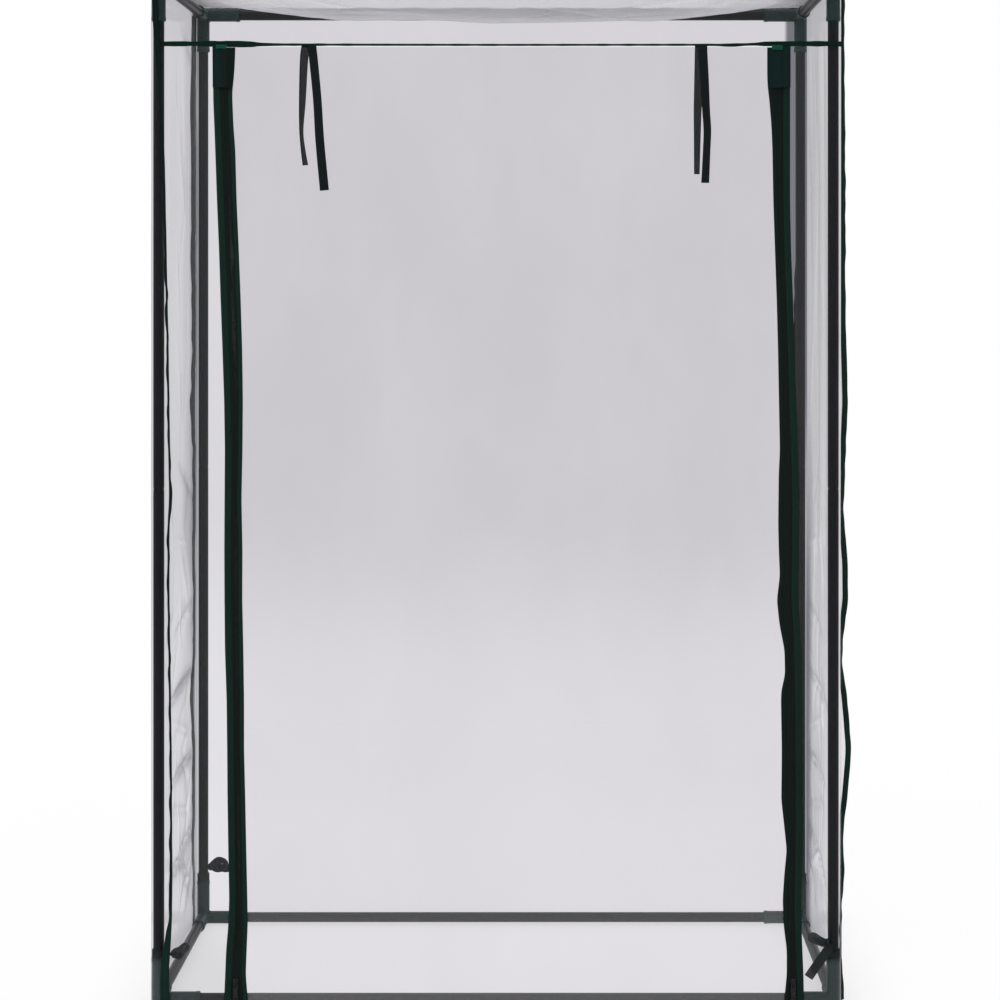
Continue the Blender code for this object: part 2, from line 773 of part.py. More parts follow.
def bail_mesh(name, foot_out):
    """The small arch that holds the tab, as a bent wire with its ends in the plate."""
    bow = bpy.data.curves.new(name, "CURVE")
    bow.dimensions = "3D"
    bow.bevel_depth = BAIL_WIRE / 2
    bow.bevel_resolution = 1
    bow.use_fill_caps = True
    line = bow.splines.new("POLY")
    count = 8
    line.points.add(count + 2)
    turns = steps(0, math.pi, count)
    path = [(BAIL_RADIUS * math.cos(t), BAIL_RADIUS * math.sin(t)) for t in turns]
    sunk = SLIDER_PLATE / 2
    path = [(path[0][0], -sunk)] + path + [(path[-1][0], -sunk)]
    for point, (up, out) in zip(line.points, path):
        point.co = (0, -foot_out - out, up, 1)
    return curve_mesh(name, bow)


def make_slider(side_name, side):
    """A slider with a plate on each face of the chain and a web through its slit."""
    name = f"zip_slider_{side_name}"
    foot, head, turn = zip_line(side)
    middle = foot + (head - foot).normalized() * (SLIDER_REST - ZIP_FOOT)
    front = CHAIN_THICKNESS + GAP
    face = front + SLIDER_PLATE
    back = -GAP - SLIDER_PLATE
    plate = (SLIDER_WIDTH, SLIDER_PLATE, SLIDER_LENGTH)
    slider = add_object(name, box_mesh(name, plate, (0, -front - SLIDER_PLATE / 2, 0)), zip_metal())
    join(slider, box_mesh(f"{name}_back", plate, (0, -back - SLIDER_PLATE / 2, 0)))
    web = (SLIDER_WEB, face - back - SLIDER_PLATE, SLIDER_WEB_LENGTH)
    join(slider, box_mesh(f"{name}_web", web, (0, -(face + back) / 2, 0)))
    join(slider, bail_mesh(f"{name}_bail", face))
    place = Matrix.Translation(middle) @ turn
    put(slider, place)
    make_pull(f"zip_pull_{side_name}", place @ Vector((0, -face - TAB_AXIS_HEIGHT, 0)), slider)


def make_pull(tab_name, axis, slider):
    """A tab that hangs from the slider's bail by the bar across its window."""
    size = (TAB_WIDTH, TAB_THICKNESS, TAB_LENGTH)
    middle = (0, 0, TAB_BAR / 2 - TAB_LENGTH / 2)
    tab = add_object(tab_name, box_mesh(tab_name, size, middle), zip_metal())
    window = (TAB_WINDOW_WIDTH, 2 * TAB_THICKNESS, TAB_WINDOW_LENGTH)
    cut(tab, box_mesh(f"{tab_name}_window", window, (0, 0, -(TAB_BAR + TAB_WINDOW_LENGTH) / 2)))
    hole_height = TAB_BAR / 2 - TAB_LENGTH + TAB_HOLE_INSET
    hole_ends = ((0, TAB_THICKNESS, hole_height), (0, -TAB_THICKNESS, hole_height))
    cut(tab, rod_mesh(f"{tab_name}_hole", TAB_HOLE_DIAMETER, *hole_ends, 12))
    put(tab, Matrix.Translation(axis))
    attach(tab, slider)


def make_door():
    """The door panel and its zip tapes, hung from the header."""
    hinge = empty("door_hinge", HINGE_POINT)
    levels = steps(HEM_HEIGHT, HINGE_HEIGHT + GAP, LEVEL_COUNT)
    edges = (zip_edge(-1, 1), zip_edge(1, -1))
    door = panel("door_panel", *edges, levels, 8, None, door_swell, HINGE_POINT)
    head = HINGE_HEIGHT - DOOR_TAPE_DROP
    left = make_tape("door_tape_left", -1, 1, head, HINGE_POINT)
    right = make_tape("door_tape_right", 1, -1, head, HINGE_POINT)
    for piece in (door, left, right):
        attach(piece, hinge)
    return hinge


# Straps and ties
def make_strap(name, head, face, share, length, drift, bow):
    """A tape hanging from the header; face is 1 in front of the door and -1 behind it."""
    count = 6
    place = share * ZIP_SPACING
    root = OUTER_STRAP_OUT if face > 0 else INNER_STRAP_OUT
    pivot = cover_point(place, head, root)

    def place_of(column, row):
        run = 1 - row / count
        middle = place + drift * run + bow * arch(run)
        out = root + face * STRAP_STAND_OFF * run
        return cover_point(middle + (column - 0.5) * STRAP_WIDTH, head - length * run, out)

    return sheet(name, 1, count, place_of, STRAP_THICKNESS, strap_webbing(), pivot)


def make_straps(hinge):
    outer_head = HINGE_HEIGHT - OUTER_STRAP_DROP
    inner_head = HEADER_LOW + INNER_STRAP_LAP
    attach(make_strap("strap_outer_left", outer_head, 1, **LEFT_OUTER_STRAP), hinge)
    attach(make_strap("strap_outer_right", outer_head, 1, **RIGHT_OUTER_STRAP), hinge)
    make_strap("strap_inner_left", inner_head, -1, **LEFT_INNER_STRAP)
    make_strap("strap_inner_right", inner_head, -1, **RIGHT_INNER_STRAP)


def make_tie(name, corner, rise, turn):
    """A tape round a post, with its knot on the inner side and one free end."""
    across, along = CORNER_SIGNS[corner]
    inner = TUBE_DIAMETER / 2 + GAP
    outer = inner + TIE_THICKNESS
    half = TIE_WIDTH / 2
    tie = turned(name, [(outer, half), (outer, -half), (inner, -half), (inner, half)], TUBE_SIDES)
    tie.data.materials.append(strap_webbing())
    inward = Vector((-across, -along * turn, 0)).normalized()
    knot_centre = inward * (inner + TIE_KNOT / 2 - TIE_THICKNESS)
    knot = bmesh.new()
    bmesh.ops.create_uvsphere(knot, u_segments=10, v_segments=6, radius=TIE_KNOT / 2)
    bmesh.ops.translate(knot, vec=knot_centre, verts=knot.verts)
    join(tie, mesh_from(knot, f"{name}_knot"))
    tail_size = (TIE_TAIL_LENGTH, TIE_TAIL_THICKNESS, TIE_TAIL_WIDTH)
    tail = box_mesh(f"{name}_tail", tail_size, (TIE_TAIL_LENGTH / 2, 0, 0))
    lean = Matrix.Rotation(-math.atan(rise), 4, "Y")
    heading = Matrix.Rotation(math.atan2(inward.y, inward.x), 4, "Z")
    tail.transform(Matrix.Translation(knot_centre) @ heading @ lean)
    join(tie, tail)
    post_ends = ((0, 0, -TIE_TAIL_LENGTH), (0, 0, TIE_TAIL_LENGTH))
    cut(tie, rod_mesh(f"{name}_post", 2 * inner, *post_ends, TUBE_SIDES))
    put(tie, Matrix.Translation((across * HALF_WIDTH, along * HALF_DEPTH, TIE_HEIGHT)))


def main():
    clear_scene()
    make_frame()
    make_panels()
    make_bindings()
    make_chain("zip_chain_left", -1)
    make_chain("zip_chain_right", 1)
    make_tape("zip_tape_left", -1, -1, ZIP_HEAD)
    make_tape("zip_tape_right", 1, 1, ZIP_HEAD)
    hinge = make_door()
    make_slider("left", -1)
    make_slider("right", 1)
    make_straps(hinge)
    make_tie("post_tie_front_left", FRONT_LEFT, **FRONT_LEFT_TIE)
    make_tie("post_tie_front_right", FRONT_RIGHT, **FRONT_RIGHT_TIE)
    make_tie("post_tie_back_right", BACK_RIGHT, **BACK_RIGHT_TIE)
    make_tie("post_tie_back_left", BACK_LEFT, **BACK_LEFT_TIE)


main()
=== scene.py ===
import math

import bpy
import numpy as np
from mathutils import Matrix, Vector


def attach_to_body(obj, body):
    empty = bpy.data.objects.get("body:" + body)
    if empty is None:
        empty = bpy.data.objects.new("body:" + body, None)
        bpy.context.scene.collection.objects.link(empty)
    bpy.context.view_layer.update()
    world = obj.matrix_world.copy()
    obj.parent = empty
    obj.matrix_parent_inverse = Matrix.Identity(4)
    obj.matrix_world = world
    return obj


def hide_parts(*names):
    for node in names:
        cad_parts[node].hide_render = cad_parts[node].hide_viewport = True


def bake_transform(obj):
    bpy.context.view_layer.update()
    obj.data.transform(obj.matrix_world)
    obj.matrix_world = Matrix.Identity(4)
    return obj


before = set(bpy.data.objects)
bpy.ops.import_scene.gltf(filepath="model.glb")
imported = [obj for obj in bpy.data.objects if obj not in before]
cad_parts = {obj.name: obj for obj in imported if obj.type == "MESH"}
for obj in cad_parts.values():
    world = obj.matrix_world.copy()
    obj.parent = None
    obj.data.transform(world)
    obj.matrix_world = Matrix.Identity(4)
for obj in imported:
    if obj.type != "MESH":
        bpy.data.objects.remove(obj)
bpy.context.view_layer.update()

bl_info = {
    "name": "Tomato greenhouse",
    "version": (1, 0, 0),
    "blender": (4, 5, 0),
    "location": "3D View > Sidebar > Greenhouse",
    "description": "Covers the greenhouse's tube frame with creased clear film, bound seams, zips and tapes",
    "category": "Object",
}

# Frame, in metres, between tube centres
TUBE_RADIUS = 0.008
TUBE_WALL = 0.0008
CONNECTOR_RADIUS = 0.010
CONNECTOR_REACH = 0.060
SOCKET_RADIUS = 0.0083
SOCKET_FLOOR = 0.014
SOCKET_PLAY = 0.0003
WEB_THICKNESS = 0.0075
CLOSED = 0.00001
HALF_WIDTH = 0.490
HALF_DEPTH = 0.240
FRAME_FOOT = 0.0105
FRAME_TOP = 1.4905
POST_JOINT = 0.750
CORNERS = {
    "front_left": (-1, -1),
    "front_right": (1, -1),
    "back_right": (1, 1),
    "back_left": (-1, 1),
}

# Cover
COVER_OFFSET = 0.0113
BEND = COVER_OFFSET * math.pi / 2
ROOF_SEAM = BEND / 2
HEM_HEIGHT = 0.003
HEADER_LOW = 1.3925
HEADER_HIGH = 1.3975
HEADER_HEIGHT = 1.395
HINGE_HEIGHT = 1.3915
ROOF_SAG = 0.043
SLIP_FOOT = 0.0275
SLIP_TOP = 0.0085
CREASE_FOOT = 0.030
CREASE_PITCH = 0.235
ZIP_SPACING = 0.807
FILM_FROM_ZIP = 0.0064
TIE_HEIGHT = 0.0768
SEAM_HALF_GAP = 0.0008
ROOF_TAPE_END = 0.0019
ROOF_TAPE_WIDTH = 0.0065
TAPE_THICKNESS = 0.0011
TOOTH_HALF_LENGTH = 0.00145
ZIP_REACH = (0.010, 1.3932)
ZIP_ROWS = 470
# Where the cloth over a zip's head starts to close under the header, and over what height
HOOD_EDGE, HOOD_FALL = 1.3845, 0.0085

# Stops round the cover: how far round it, the frame behind it, and the outward angle
GIRTH_STOPS = np.cumsum([0] + 2 * [2 * HALF_WIDTH, BEND, 2 * HALF_DEPTH, BEND])
GIRTH_X = HALF_WIDTH * np.array([-1, 1, 1, 1, 1, -1, -1, -1, -1])
GIRTH_Y = HALF_DEPTH * np.array([-1, -1, -1, 1, 1, 1, 1, -1, -1])
GIRTH_ANGLES = math.pi * np.array([-0.5, -0.5, 0, 0, 0.5, 0.5, 1, 1, 1.5])


# Meshes
class Form:
    """Grids of points gathered into one mesh, with their widths and lengths in metres as its UV map."""

    def __init__(self):
        self.points, self.faces, self.coordinates, self.count = [], [], [], 0

    def add(self, points, wrap_rows=False, wrap_columns=False, caps=False, flip=False):
        """Joins neighbouring points of a (rows, columns, 3) grid into quads; caps close its first and last rows."""
        rows, columns = points.shape[:2]
        index = np.arange(rows * columns).reshape(rows, columns)
        closed = points
        if wrap_rows:
            index, closed = np.concatenate([index, index[:1]]), np.concatenate([closed, closed[:1]])
        if wrap_columns:
            index, closed = np.hstack([index, index[:, :1]]), np.hstack([closed, closed[:, :1]])
        index = index + self.count
        across = np.linalg.norm(np.diff(closed, axis=1), axis=2).mean(0)
        along = np.linalg.norm(np.diff(closed, axis=0), axis=2).mean(1)
        u = np.concatenate([[0], np.cumsum(across)])
        v = np.concatenate([[0], np.cumsum(along)])
        uv = np.stack(np.meshgrid(u, v), -1)
        order = ((0, 0), (0, 1), (1, 1), (1, 0))
        if flip:
            order = order[::-1]
        high, wide = index.shape[0] - 1, index.shape[1] - 1
        corner = [index[r : r + high, c : c + wide] for r, c in order]
        placed = [uv[r : r + high, c : c + wide] for r, c in order]
        self.faces += np.stack(corner, -1).reshape(-1, 4).tolist()
        self.coordinates.append(np.stack(placed, -2).reshape(-1, 2))
        self.points.append(points.reshape(-1, 3))
        if caps:
            for row, turn in ((index[0], -1), (index[-1], 1)):
                ring = row[:-1] if wrap_columns else row
                turn = -turn if flip else turn
                self.faces.append(ring[::turn].tolist())
                self.coordinates.append(np.zeros((len(ring), 2)))
        self.count += rows * columns
        return self

    def repeat(self, points, faces):
        """Adds many copies of one small shape: points is (copies, corners, 3), and faces index the corners."""
        copies, corners = points.shape[:2]
        starts = self.count + corners * np.arange(copies)[:, None, None]
        self.faces += (starts + np.array(faces)[None]).reshape(-1, len(faces[0])).tolist()
        self.coordinates.append(np.zeros((copies * len(faces) * len(faces[0]), 2)))
        self.points.append(points.reshape(-1, 3))
        self.count += copies * corners
        return self

    def build(self, name, finish, sharp=40.0):
        mesh = bpy.data.meshes.new(name)
        mesh.from_pydata(np.concatenate(self.points).tolist(), [], self.faces)
        layer = mesh.uv_layers.new(name="UVMap")
        layer.uv.foreach_set("vector", np.concatenate(self.coordinates).astype(np.float32).ravel())
        mesh.shade_smooth()
        mesh.set_sharp_from_angle(angle=math.radians(sharp))
        mesh.materials.append(finish)
        mesh.update()
        made = bpy.data.objects.new(name, mesh)
        bpy.context.scene.collection.objects.link(made)
        return made


def table(where, rows):
    """Smoothly joins measured (place, value) pairs: linear between them, then averaged over a short stretch."""
    known = np.array(sorted(rows))
    fine = np.linspace(known[0, 0], known[-1, 0], 40 * len(known))
    value = np.interp(fine, known[:, 0], known[:, 1])
    width = 25
    padded = np.pad(value, width // 2, mode="edge")
    value = np.convolve(padded, np.hanning(width + 2)[1:-1] / np.hanning(width + 2).sum(), mode="valid")
    return np.interp(where, fine, value)


def ease(share):
    """A smooth step from 0 to 1."""
    share = np.clip(share, 0, 1)
    return share * share * (3 - 2 * share)


def arch(share):
    """Half a sine over the share from 0 to 1, and nothing outside it."""
    return np.sin(np.pi * np.clip(share, 0, 1))


def ripple(seed, *axes, pitch=0.2, waves=9):
    """A smooth uneven field about 0: sines of several directions and lengths near the pitch, added up."""
    rng = np.random.default_rng(seed)
    total = 0
    for _ in range(waves):
        heading = rng.normal(size=len(axes))
        heading *= 2 * np.pi / (pitch * rng.uniform(0.6, 1.8)) / np.linalg.norm(heading)
        total = total + np.sin(sum(k * a for k, a in zip(heading, axes)) + rng.uniform(0, 2 * np.pi))
    return total / math.sqrt(waves)


def folds(lines, across, up):
    """Straight creases: each stands as a sharp ridge, steepest at its line, under an arch along its length.

    A line is (across, up, angle in degrees, length, width, depth).
    """
    total = np.zeros(np.broadcast(across, up).shape)
    for x, z, angle, length, width, depth in lines:
        turn = math.radians(angle)
        along = (across - x) * math.cos(turn) + (up - z) * math.sin(turn)
        aside = -(across - x) * math.sin(turn) + (up - z) * math.cos(turn)
        window = arch(along / length + 0.5)
        total += depth * window * np.exp(-np.abs(aside) / (width * (0.3 + 0.7 * window)))
    return total


def scattered(seed, count, low, high, length, width, depth, angles=(0, 180)):
    """Random crease lines between two corners of a panel."""
    rng = np.random.default_rng(seed)
    return [
        (
            rng.uniform(low[0], high[0]),
            rng.uniform(low[1], high[1]),
            rng.uniform(*angles),
            rng.uniform(0.5, 1.5) * length,
            rng.uniform(0.6, 1.5) * width,
            rng.choice((-1, 1)) * rng.uniform(0.4, 1.2) * depth,
        )
        for _ in range(count)
    ]


# The cover's surface
def walk_round(place):
    """The frame's point and the outward angle, for a place round the film in metres from the middle of the front."""
    left = np.mod(place + HALF_WIDTH, GIRTH_STOPS[-1])
    angle = np.interp(left, GIRTH_STOPS, GIRTH_ANGLES)
    return np.interp(left, GIRTH_STOPS, GIRTH_X), np.interp(left, GIRTH_STOPS, GIRTH_Y), angle


def cover_point(place, climb, out=0.0, aside=0.0):
    """The frame's point plus the cover's offset along the outward angle, which tilts up over the top rail."""
    x, y, angle = walk_round(place)
    tilt = np.maximum(climb - FRAME_TOP, 0) / COVER_OFFSET
    reach = (COVER_OFFSET + out) * np.cos(tilt)
    height = np.minimum(climb, FRAME_TOP) + (COVER_OFFSET + out) * np.sin(tilt)
    x = x + np.cos(angle) * reach - np.sin(angle) * aside
    y = y + np.sin(angle) * reach + np.cos(angle) * aside
    return np.stack(np.broadcast_arrays(x, y, height), -1)


def slip(height):
    return SLIP_FOOT + (SLIP_TOP - SLIP_FOOT) * height / HEADER_HEIGHT


def corner_bend(corner):
    """Place where the film starts to bend round a corner, counted from the front left."""
    return -HALF_WIDTH - BEND + sum((2 * HALF_WIDTH + BEND, 2 * HALF_DEPTH + BEND)[i % 2] for i in range(corner))


def corner_seam(corner, height):
    place = corner_bend(corner) + BEND / 2 + slip(height)
    shift = SEAM_SHIFTS.get(corner % 4)
    return place + table(height, shift) if shift else place


def zip_place(side, height):
    return side * ZIP_SPACING / 2 + slip(height)


# Measured outlines: (height, metres)
# How far a corner's seam stands aside from the middle of its bend
SEAM_SHIFTS = {
    0: [(0.0, -0.001), (0.06, -0.001), (0.1, 0.0020), (0.18, 0.0045), (0.36, 0.0058), (0.45, 0.0055), (0.6, 0.0058)]
    + [(0.70, 0.0068), (0.737, 0.0095), (0.78, 0.0095), (0.86, 0.0095), (1.11, 0.0085), (1.26, 0.0070)]
    + [(1.37, 0.0045), (1.5, 0.0)],
}
# How far the outer edge of each bound seam stands out of the film's plane
SEAM_REACHES = {
    0: [(0.0, 0.006), (0.05, 0.0075), (0.10, 0.010), (0.26, 0.011), (0.5, 0.009), (0.6, 0.012), (0.72, 0.008)]
    + [(0.86, 0.012), (0.97, 0.009), (1.1, 0.012), (1.21, 0.009), (1.33, 0.011), (1.5, 0.008)],
    1: [(0.005, 0.0070), (0.086, 0.0006), (0.122, 0.0012), (0.188, 0.0071), (0.246, 0.0042), (0.297, 0.0114)]
    + [(0.37, 0.0173), (0.457, 0.010), (0.495, 0.0012), (0.523, 0.0034), (0.588, 0.0122), (0.647, 0.0114)]
    + [(0.719, 0.0042), (0.778, 0.0071), (0.880, 0.0114), (1.025, 0.0071), (1.171, 0.0071), (1.317, 0.0056)]
    + [(1.397, 0.0042), (1.5, 0.0042)],
    2: [(0.0, 0.007), (0.12, 0.012), (0.26, 0.004), (0.38, 0.013), (0.5, 0.006), (0.62, 0.012), (0.74, 0.005)]
    + [(0.86, 0.012), (0.97, 0.006), (1.1, 0.012), (1.21, 0.006), (1.33, 0.010), (1.5, 0.006)],
    3: [(0.0, 0.006), (0.14, 0.011), (0.25, 0.005), (0.37, 0.014), (0.51, 0.005), (0.6, 0.011), (0.73, 0.006)]
    + [(0.85, 0.013), (0.98, 0.006), (1.09, 0.011), (1.2, 0.007), (1.34, 0.011), (1.5, 0.006)],
}
# Which way each seam's tape leans over, in degrees, where it doesn't stand straight
SEAM_LEANS = {
    0: [(0.0, -82), (0.08, -78), (0.11, -14), (0.3, 3), (0.5, 6), (0.7, 4), (0.74, 30), (0.8, 5)]
    + [(1.1, 2), (1.3, -8), (1.39, -45), (1.42, -70), (1.5, -60)],
    2: [(0.0, 30), (0.25, -20), (0.5, 30), (0.75, -10), (1.0, 25), (1.25, -20), (1.5, 10)],
    3: [(0.0, -75), (0.25, -62), (0.5, -72), (0.75, -60), (1.0, -40), (1.25, -15), (1.5, -10)],
}
# The front left tape's width as a share of the others'
FIN_WIDENING = [(0.0, 1.6), (0.080, 1.5), (0.105, 1.0), (1.5, 1.0)]
# Painted shade: soft dark bands painted on the side films, as (depth, height, angle, length, width, darkness) of each
LEFT_SHADE_BANDS = [
    (0.115, 0.416, 5, 0.32, 0.013, 1.2), (0.120, 0.281, 3, 0.28, 0.013, 1.0), (0.115, 0.149, 10, 0.32, 0.014, 1.2),
    (0.150, 0.090, 40, 0.16, 0.011, 0.9), (0.100, 0.105, -35, 0.18, 0.010, 0.8), (0.190, 0.220, 75, 0.16, 0.012, 0.7),
    (0.060, 0.370, 20, 0.20, 0.008, 0.4), (0.200, 0.500, 90, 0.14, 0.045, 0.7), (0.150, 1.420, -20, 0.25, 0.012, 0.5),
    (0.200, 0.800, 90, 0.32, 0.050, 0.7), (0.185, 0.640, 80, 0.18, 0.060, 0.8), (0.130, 0.730, -25, 0.22, 0.012, 0.7),
    (0.130, 0.690, 60, 0.12, 0.020, 0.5), (0.200, 1.200, 90, 0.50, 0.030, 0.4),
]
RIGHT_SHADE_BANDS = [
    (0.210, 0.135, 60, 0.10, 0.013, 0.9), (0.190, 0.130, 90, 0.14, 0.045, 0.8), (0.160, 0.300, 78, 0.30, 0.010, 0.4),
    (0.120, 0.070, 30, 0.14, 0.012, 0.6), (0.180, 0.700, 82, 0.30, 0.012, 0.4), (0.190, 1.200, 84, 0.40, 0.014, 0.4),
]
# Each zip's outlines: the outer edge of its tape, the coil's line, and the inner edge on the door
LEFT_OUTER_EDGE = [(0.012, -0.3935), (0.048, -0.3919), (0.084, -0.3905), (0.120, -0.3874), (0.157, -0.3860)] + [
    (0.229, -0.3874), (0.301, -0.3885), (0.374, -0.3890), (0.446, -0.3898), (0.519, -0.3922), (0.591, -0.3929),
    (0.663, -0.3932), (0.736, -0.3928), (0.808, -0.3924), (0.881, -0.3935), (0.953, -0.3958), (1.026, -0.3985),
    (1.098, -0.4008), (1.170, -0.4038), (1.243, -0.4063), (1.279, -0.4076), (1.315, -0.4092), (1.388, -0.4096),
]
LEFT_LINE = [(0.012, -0.3758), (0.048, -0.3757), (0.084, -0.3745), (0.120, -0.3734), (0.157, -0.3730)] + [
    (0.229, -0.3734), (0.301, -0.3740), (0.374, -0.3748), (0.446, -0.3751), (0.519, -0.3757), (0.591, -0.3763),
    (0.736, -0.3763), (0.881, -0.3763), (0.953, -0.3785), (1.026, -0.3814), (1.098, -0.3843), (1.170, -0.3869),
    (1.243, -0.3889), (1.279, -0.3901), (1.333, -0.3908), (1.350, -0.3935), (1.360, -0.3946), (1.388, -0.3950),
]
LEFT_INNER_EDGE = [(0.012, -0.3591), (0.048, -0.3622), (0.084, -0.3609), (0.120, -0.3593), (0.157, -0.3598)] + [
    (0.229, -0.3614), (0.301, -0.3628), (0.374, -0.3646), (0.446, -0.3646), (0.519, -0.3656), (0.591, -0.3672),
    (0.663, -0.3669), (0.736, -0.3683), (0.808, -0.3669), (0.881, -0.3663), (0.953, -0.3673), (1.026, -0.3695),
    (1.098, -0.3722), (1.170, -0.3754), (1.243, -0.3773), (1.279, -0.3801), (1.325, -0.3819), (1.338, -0.3805),
    (1.351, -0.3790), (1.388, -0.3772),
]
RIGHT_INNER_EDGE = [(0.012, 0.4177), (0.048, 0.4214), (0.084, 0.4214), (0.120, 0.4169), (0.157, 0.4155)] + [
    (0.193, 0.4178), (0.229, 0.4213), (0.265, 0.4175), (0.301, 0.4135), (0.374, 0.4142), (0.446, 0.4130),
    (0.460, 0.4135), (0.482, 0.4187), (0.519, 0.4180), (0.555, 0.4109), (0.591, 0.4071), (0.627, 0.4114),
    (0.663, 0.4098), (0.700, 0.4090), (0.772, 0.4097), (0.808, 0.4114), (0.881, 0.4100), (0.953, 0.4087),
    (1.026, 0.4068), (1.098, 0.4043), (1.170, 0.4019), (1.243, 0.4006), (1.279, 0.3991), (1.315, 0.3961),
    (1.333, 0.3939), (1.351, 0.3932), (1.388, 0.3932),
]
RIGHT_LINE = [(0.012, 0.4308), (0.048, 0.4308), (0.12, 0.4316), (0.229, 0.4325), (0.301, 0.4310), (0.374, 0.4305)] + [
    (0.482, 0.4310), (0.555, 0.4275), (0.591, 0.4255), (0.663, 0.4262), (0.808, 0.4250), (0.881, 0.4235),
    (1.026, 0.4195), (1.170, 0.4150), (1.279, 0.4135), (1.388, 0.4112),
]
RIGHT_OUTER_EDGE = [(0.012, 0.4463), (0.048, 0.4456), (0.084, 0.4440), (0.120, 0.4427), (0.157, 0.4420)] + [
    (0.193, 0.4429), (0.265, 0.4442), (0.338, 0.4443), (0.410, 0.4435), (0.482, 0.4426), (0.519, 0.4420),
    (0.555, 0.4403), (0.591, 0.4377), (0.663, 0.4388), (0.736, 0.4391), (0.808, 0.4377), (0.881, 0.4348),
    (0.953, 0.4326), (1.026, 0.4304), (1.098, 0.4275), (1.170, 0.4261), (1.388, 0.4261),
]


# Materials
DARKENED_FILM = (0.10, 0.11, 0.13)
STITCH_PITCH = 0.0032


class Nodes:
    """A node tree being built: most methods add one node and give its output."""

    def __init__(self, tree):
        self.tree = tree
        tree.nodes.clear()

    def add(self, kind, settings=None, inputs=None):
        """A node with its settings; an input is a value or another node's socket."""
        made = self.tree.nodes.new("ShaderNode" + kind)
        for key, value in (settings or {}).items():
            setattr(made, key, value)
        for key, value in (inputs or {}).items():
            socket = made.inputs[key]
            if isinstance(value, bpy.types.NodeSocket):
                self.tree.links.new(value, socket)
            else:
                socket.default_value = (*value, 1) if socket.type == "RGBA" else value
        return made

    def math(self, operation, *values, clamp=False):
        made = self.add("Math", {"operation": operation, "use_clamp": clamp}, dict(enumerate(values)))
        return made.outputs[0]

    def plus(self, first, second):
        return self.math("ADD", first, second)

    def minus(self, first, second):
        return self.math("SUBTRACT", first, second)

    def times(self, first, *others):
        for other in others:
            first = self.math("MULTIPLY", first, other)
        return first

    def size(self, value):
        return self.math("ABSOLUTE", value)

    def mix(self, factor, first, second):
        """One colour over another by a factor."""
        return self.add("Mix", {"data_type": "RGBA"}, {0: factor, 6: first, 7: second}).outputs[2]

    def ramp(self, value, low, high, to_low=0.0, to_high=1.0):
        """A smooth step from one value to another, between two places."""
        inputs = {0: value, 1: low, 2: high, 3: to_low, 4: to_high}
        return self.add("MapRange", {"interpolation_type": "SMOOTHSTEP"}, inputs).outputs[0]

    def where(self, kind="Object"):
        return self.add("TexCoord").outputs[kind]

    def split(self, vector):
        return self.add("SeparateXYZ", None, {0: vector}).outputs

    def noise(self, scale, detail=3.0, stretch=(1, 1, 1), roughness=0.55):
        """Noise on the object's own coordinates, squeezed by stretch."""
        placed = self.add("Mapping", None, {"Vector": self.where(), "Scale": stretch}).outputs[0]
        inputs = {"Vector": placed, "Scale": scale, "Detail": detail, "Roughness": roughness}
        return self.add("TexNoise", None, inputs).outputs["Fac"]

    def bump(self, height, distance, strength=1.0, under=None):
        inputs = {"Height": height, "Distance": distance, "Strength": strength}
        if under is not None:
            inputs["Normal"] = under
        return self.add("Bump", None, inputs).outputs[0]

    def facing(self, **inputs):
        """How far the surface turns away from the eye."""
        return self.add("LayerWeight", None, {"Blend": 0.5, **inputs}).outputs["Facing"]

    def shown(self):
        """1 for what the camera sees, straight, mirrored or through a film, and 0 for the light that falls."""
        path = self.add("LightPath").outputs
        mirrored = self.math("MAXIMUM", path["Is Glossy Ray"], path["Is Transmission Ray"])
        return self.math("MAXIMUM", path["Is Camera Ray"], mirrored)

    def shader(self, kind, inputs):
        return self.add(kind, None, inputs).outputs[0]

    def output(self, surface, kind="OutputMaterial"):
        self.add(kind, None, {"Surface": surface})

    def principled(self, colour, roughness, normal, gloss, metallic=0.0):
        inputs = {"Base Color": colour, "Roughness": roughness, "Normal": normal}
        inputs |= {"Specular IOR Level": gloss, "Metallic": metallic}
        self.output(self.shader("BsdfPrincipled", inputs))


def powder_coat(n):
    """Satin black powder coat: orange peel, slow changes of tone and small rubbed marks."""
    peel = n.noise(900, 2)
    cloud = n.noise(14, 4, (1, 1, 0.35))
    rubs = n.ramp(n.noise(60, 5, (1, 1, 0.15), 0.7), 0.62, 0.74)
    dark = n.mix(cloud, (0.0038, 0.0048, 0.0052), (0.0062, 0.0076, 0.0082))
    colour = n.mix(n.times(rubs, 0.30), dark, (0.020, 0.022, 0.024))
    n.principled(colour, n.plus(n.times(cloud, 0.18), 0.30), n.bump(peel, 0.00006), 0.14)


def grained_plastic(n):
    """Dark grey green polypropylene: fine spark-eroded grain, a little scuffed."""
    cloud = n.noise(30, 4)
    colour = n.mix(cloud, (0.0080, 0.0250, 0.0220), (0.0125, 0.0350, 0.0310))
    n.principled(colour, n.plus(n.times(cloud, 0.2), 0.36), n.bump(n.noise(2200, 2), 0.00005), 0.2)


def lacquered_metal(n):
    """Black lacquer on zinc, rubbed through to grey along its edges."""
    wear = n.ramp(n.noise(420, 4, (1, 1, 1), 0.7), 0.55, 0.72)
    edge = n.add("NewGeometry").outputs["Pointiness"]
    worn = n.times(wear, n.ramp(edge, 0.50, 0.60))
    colour = n.mix(worn, (0.006, 0.007, 0.007), (0.10, 0.10, 0.105))
    n.principled(colour, n.ramp(wear, 0, 1, 0.34, 0.50), n.bump(n.noise(1500, 2), 0.00004), 0.2, 0.1)


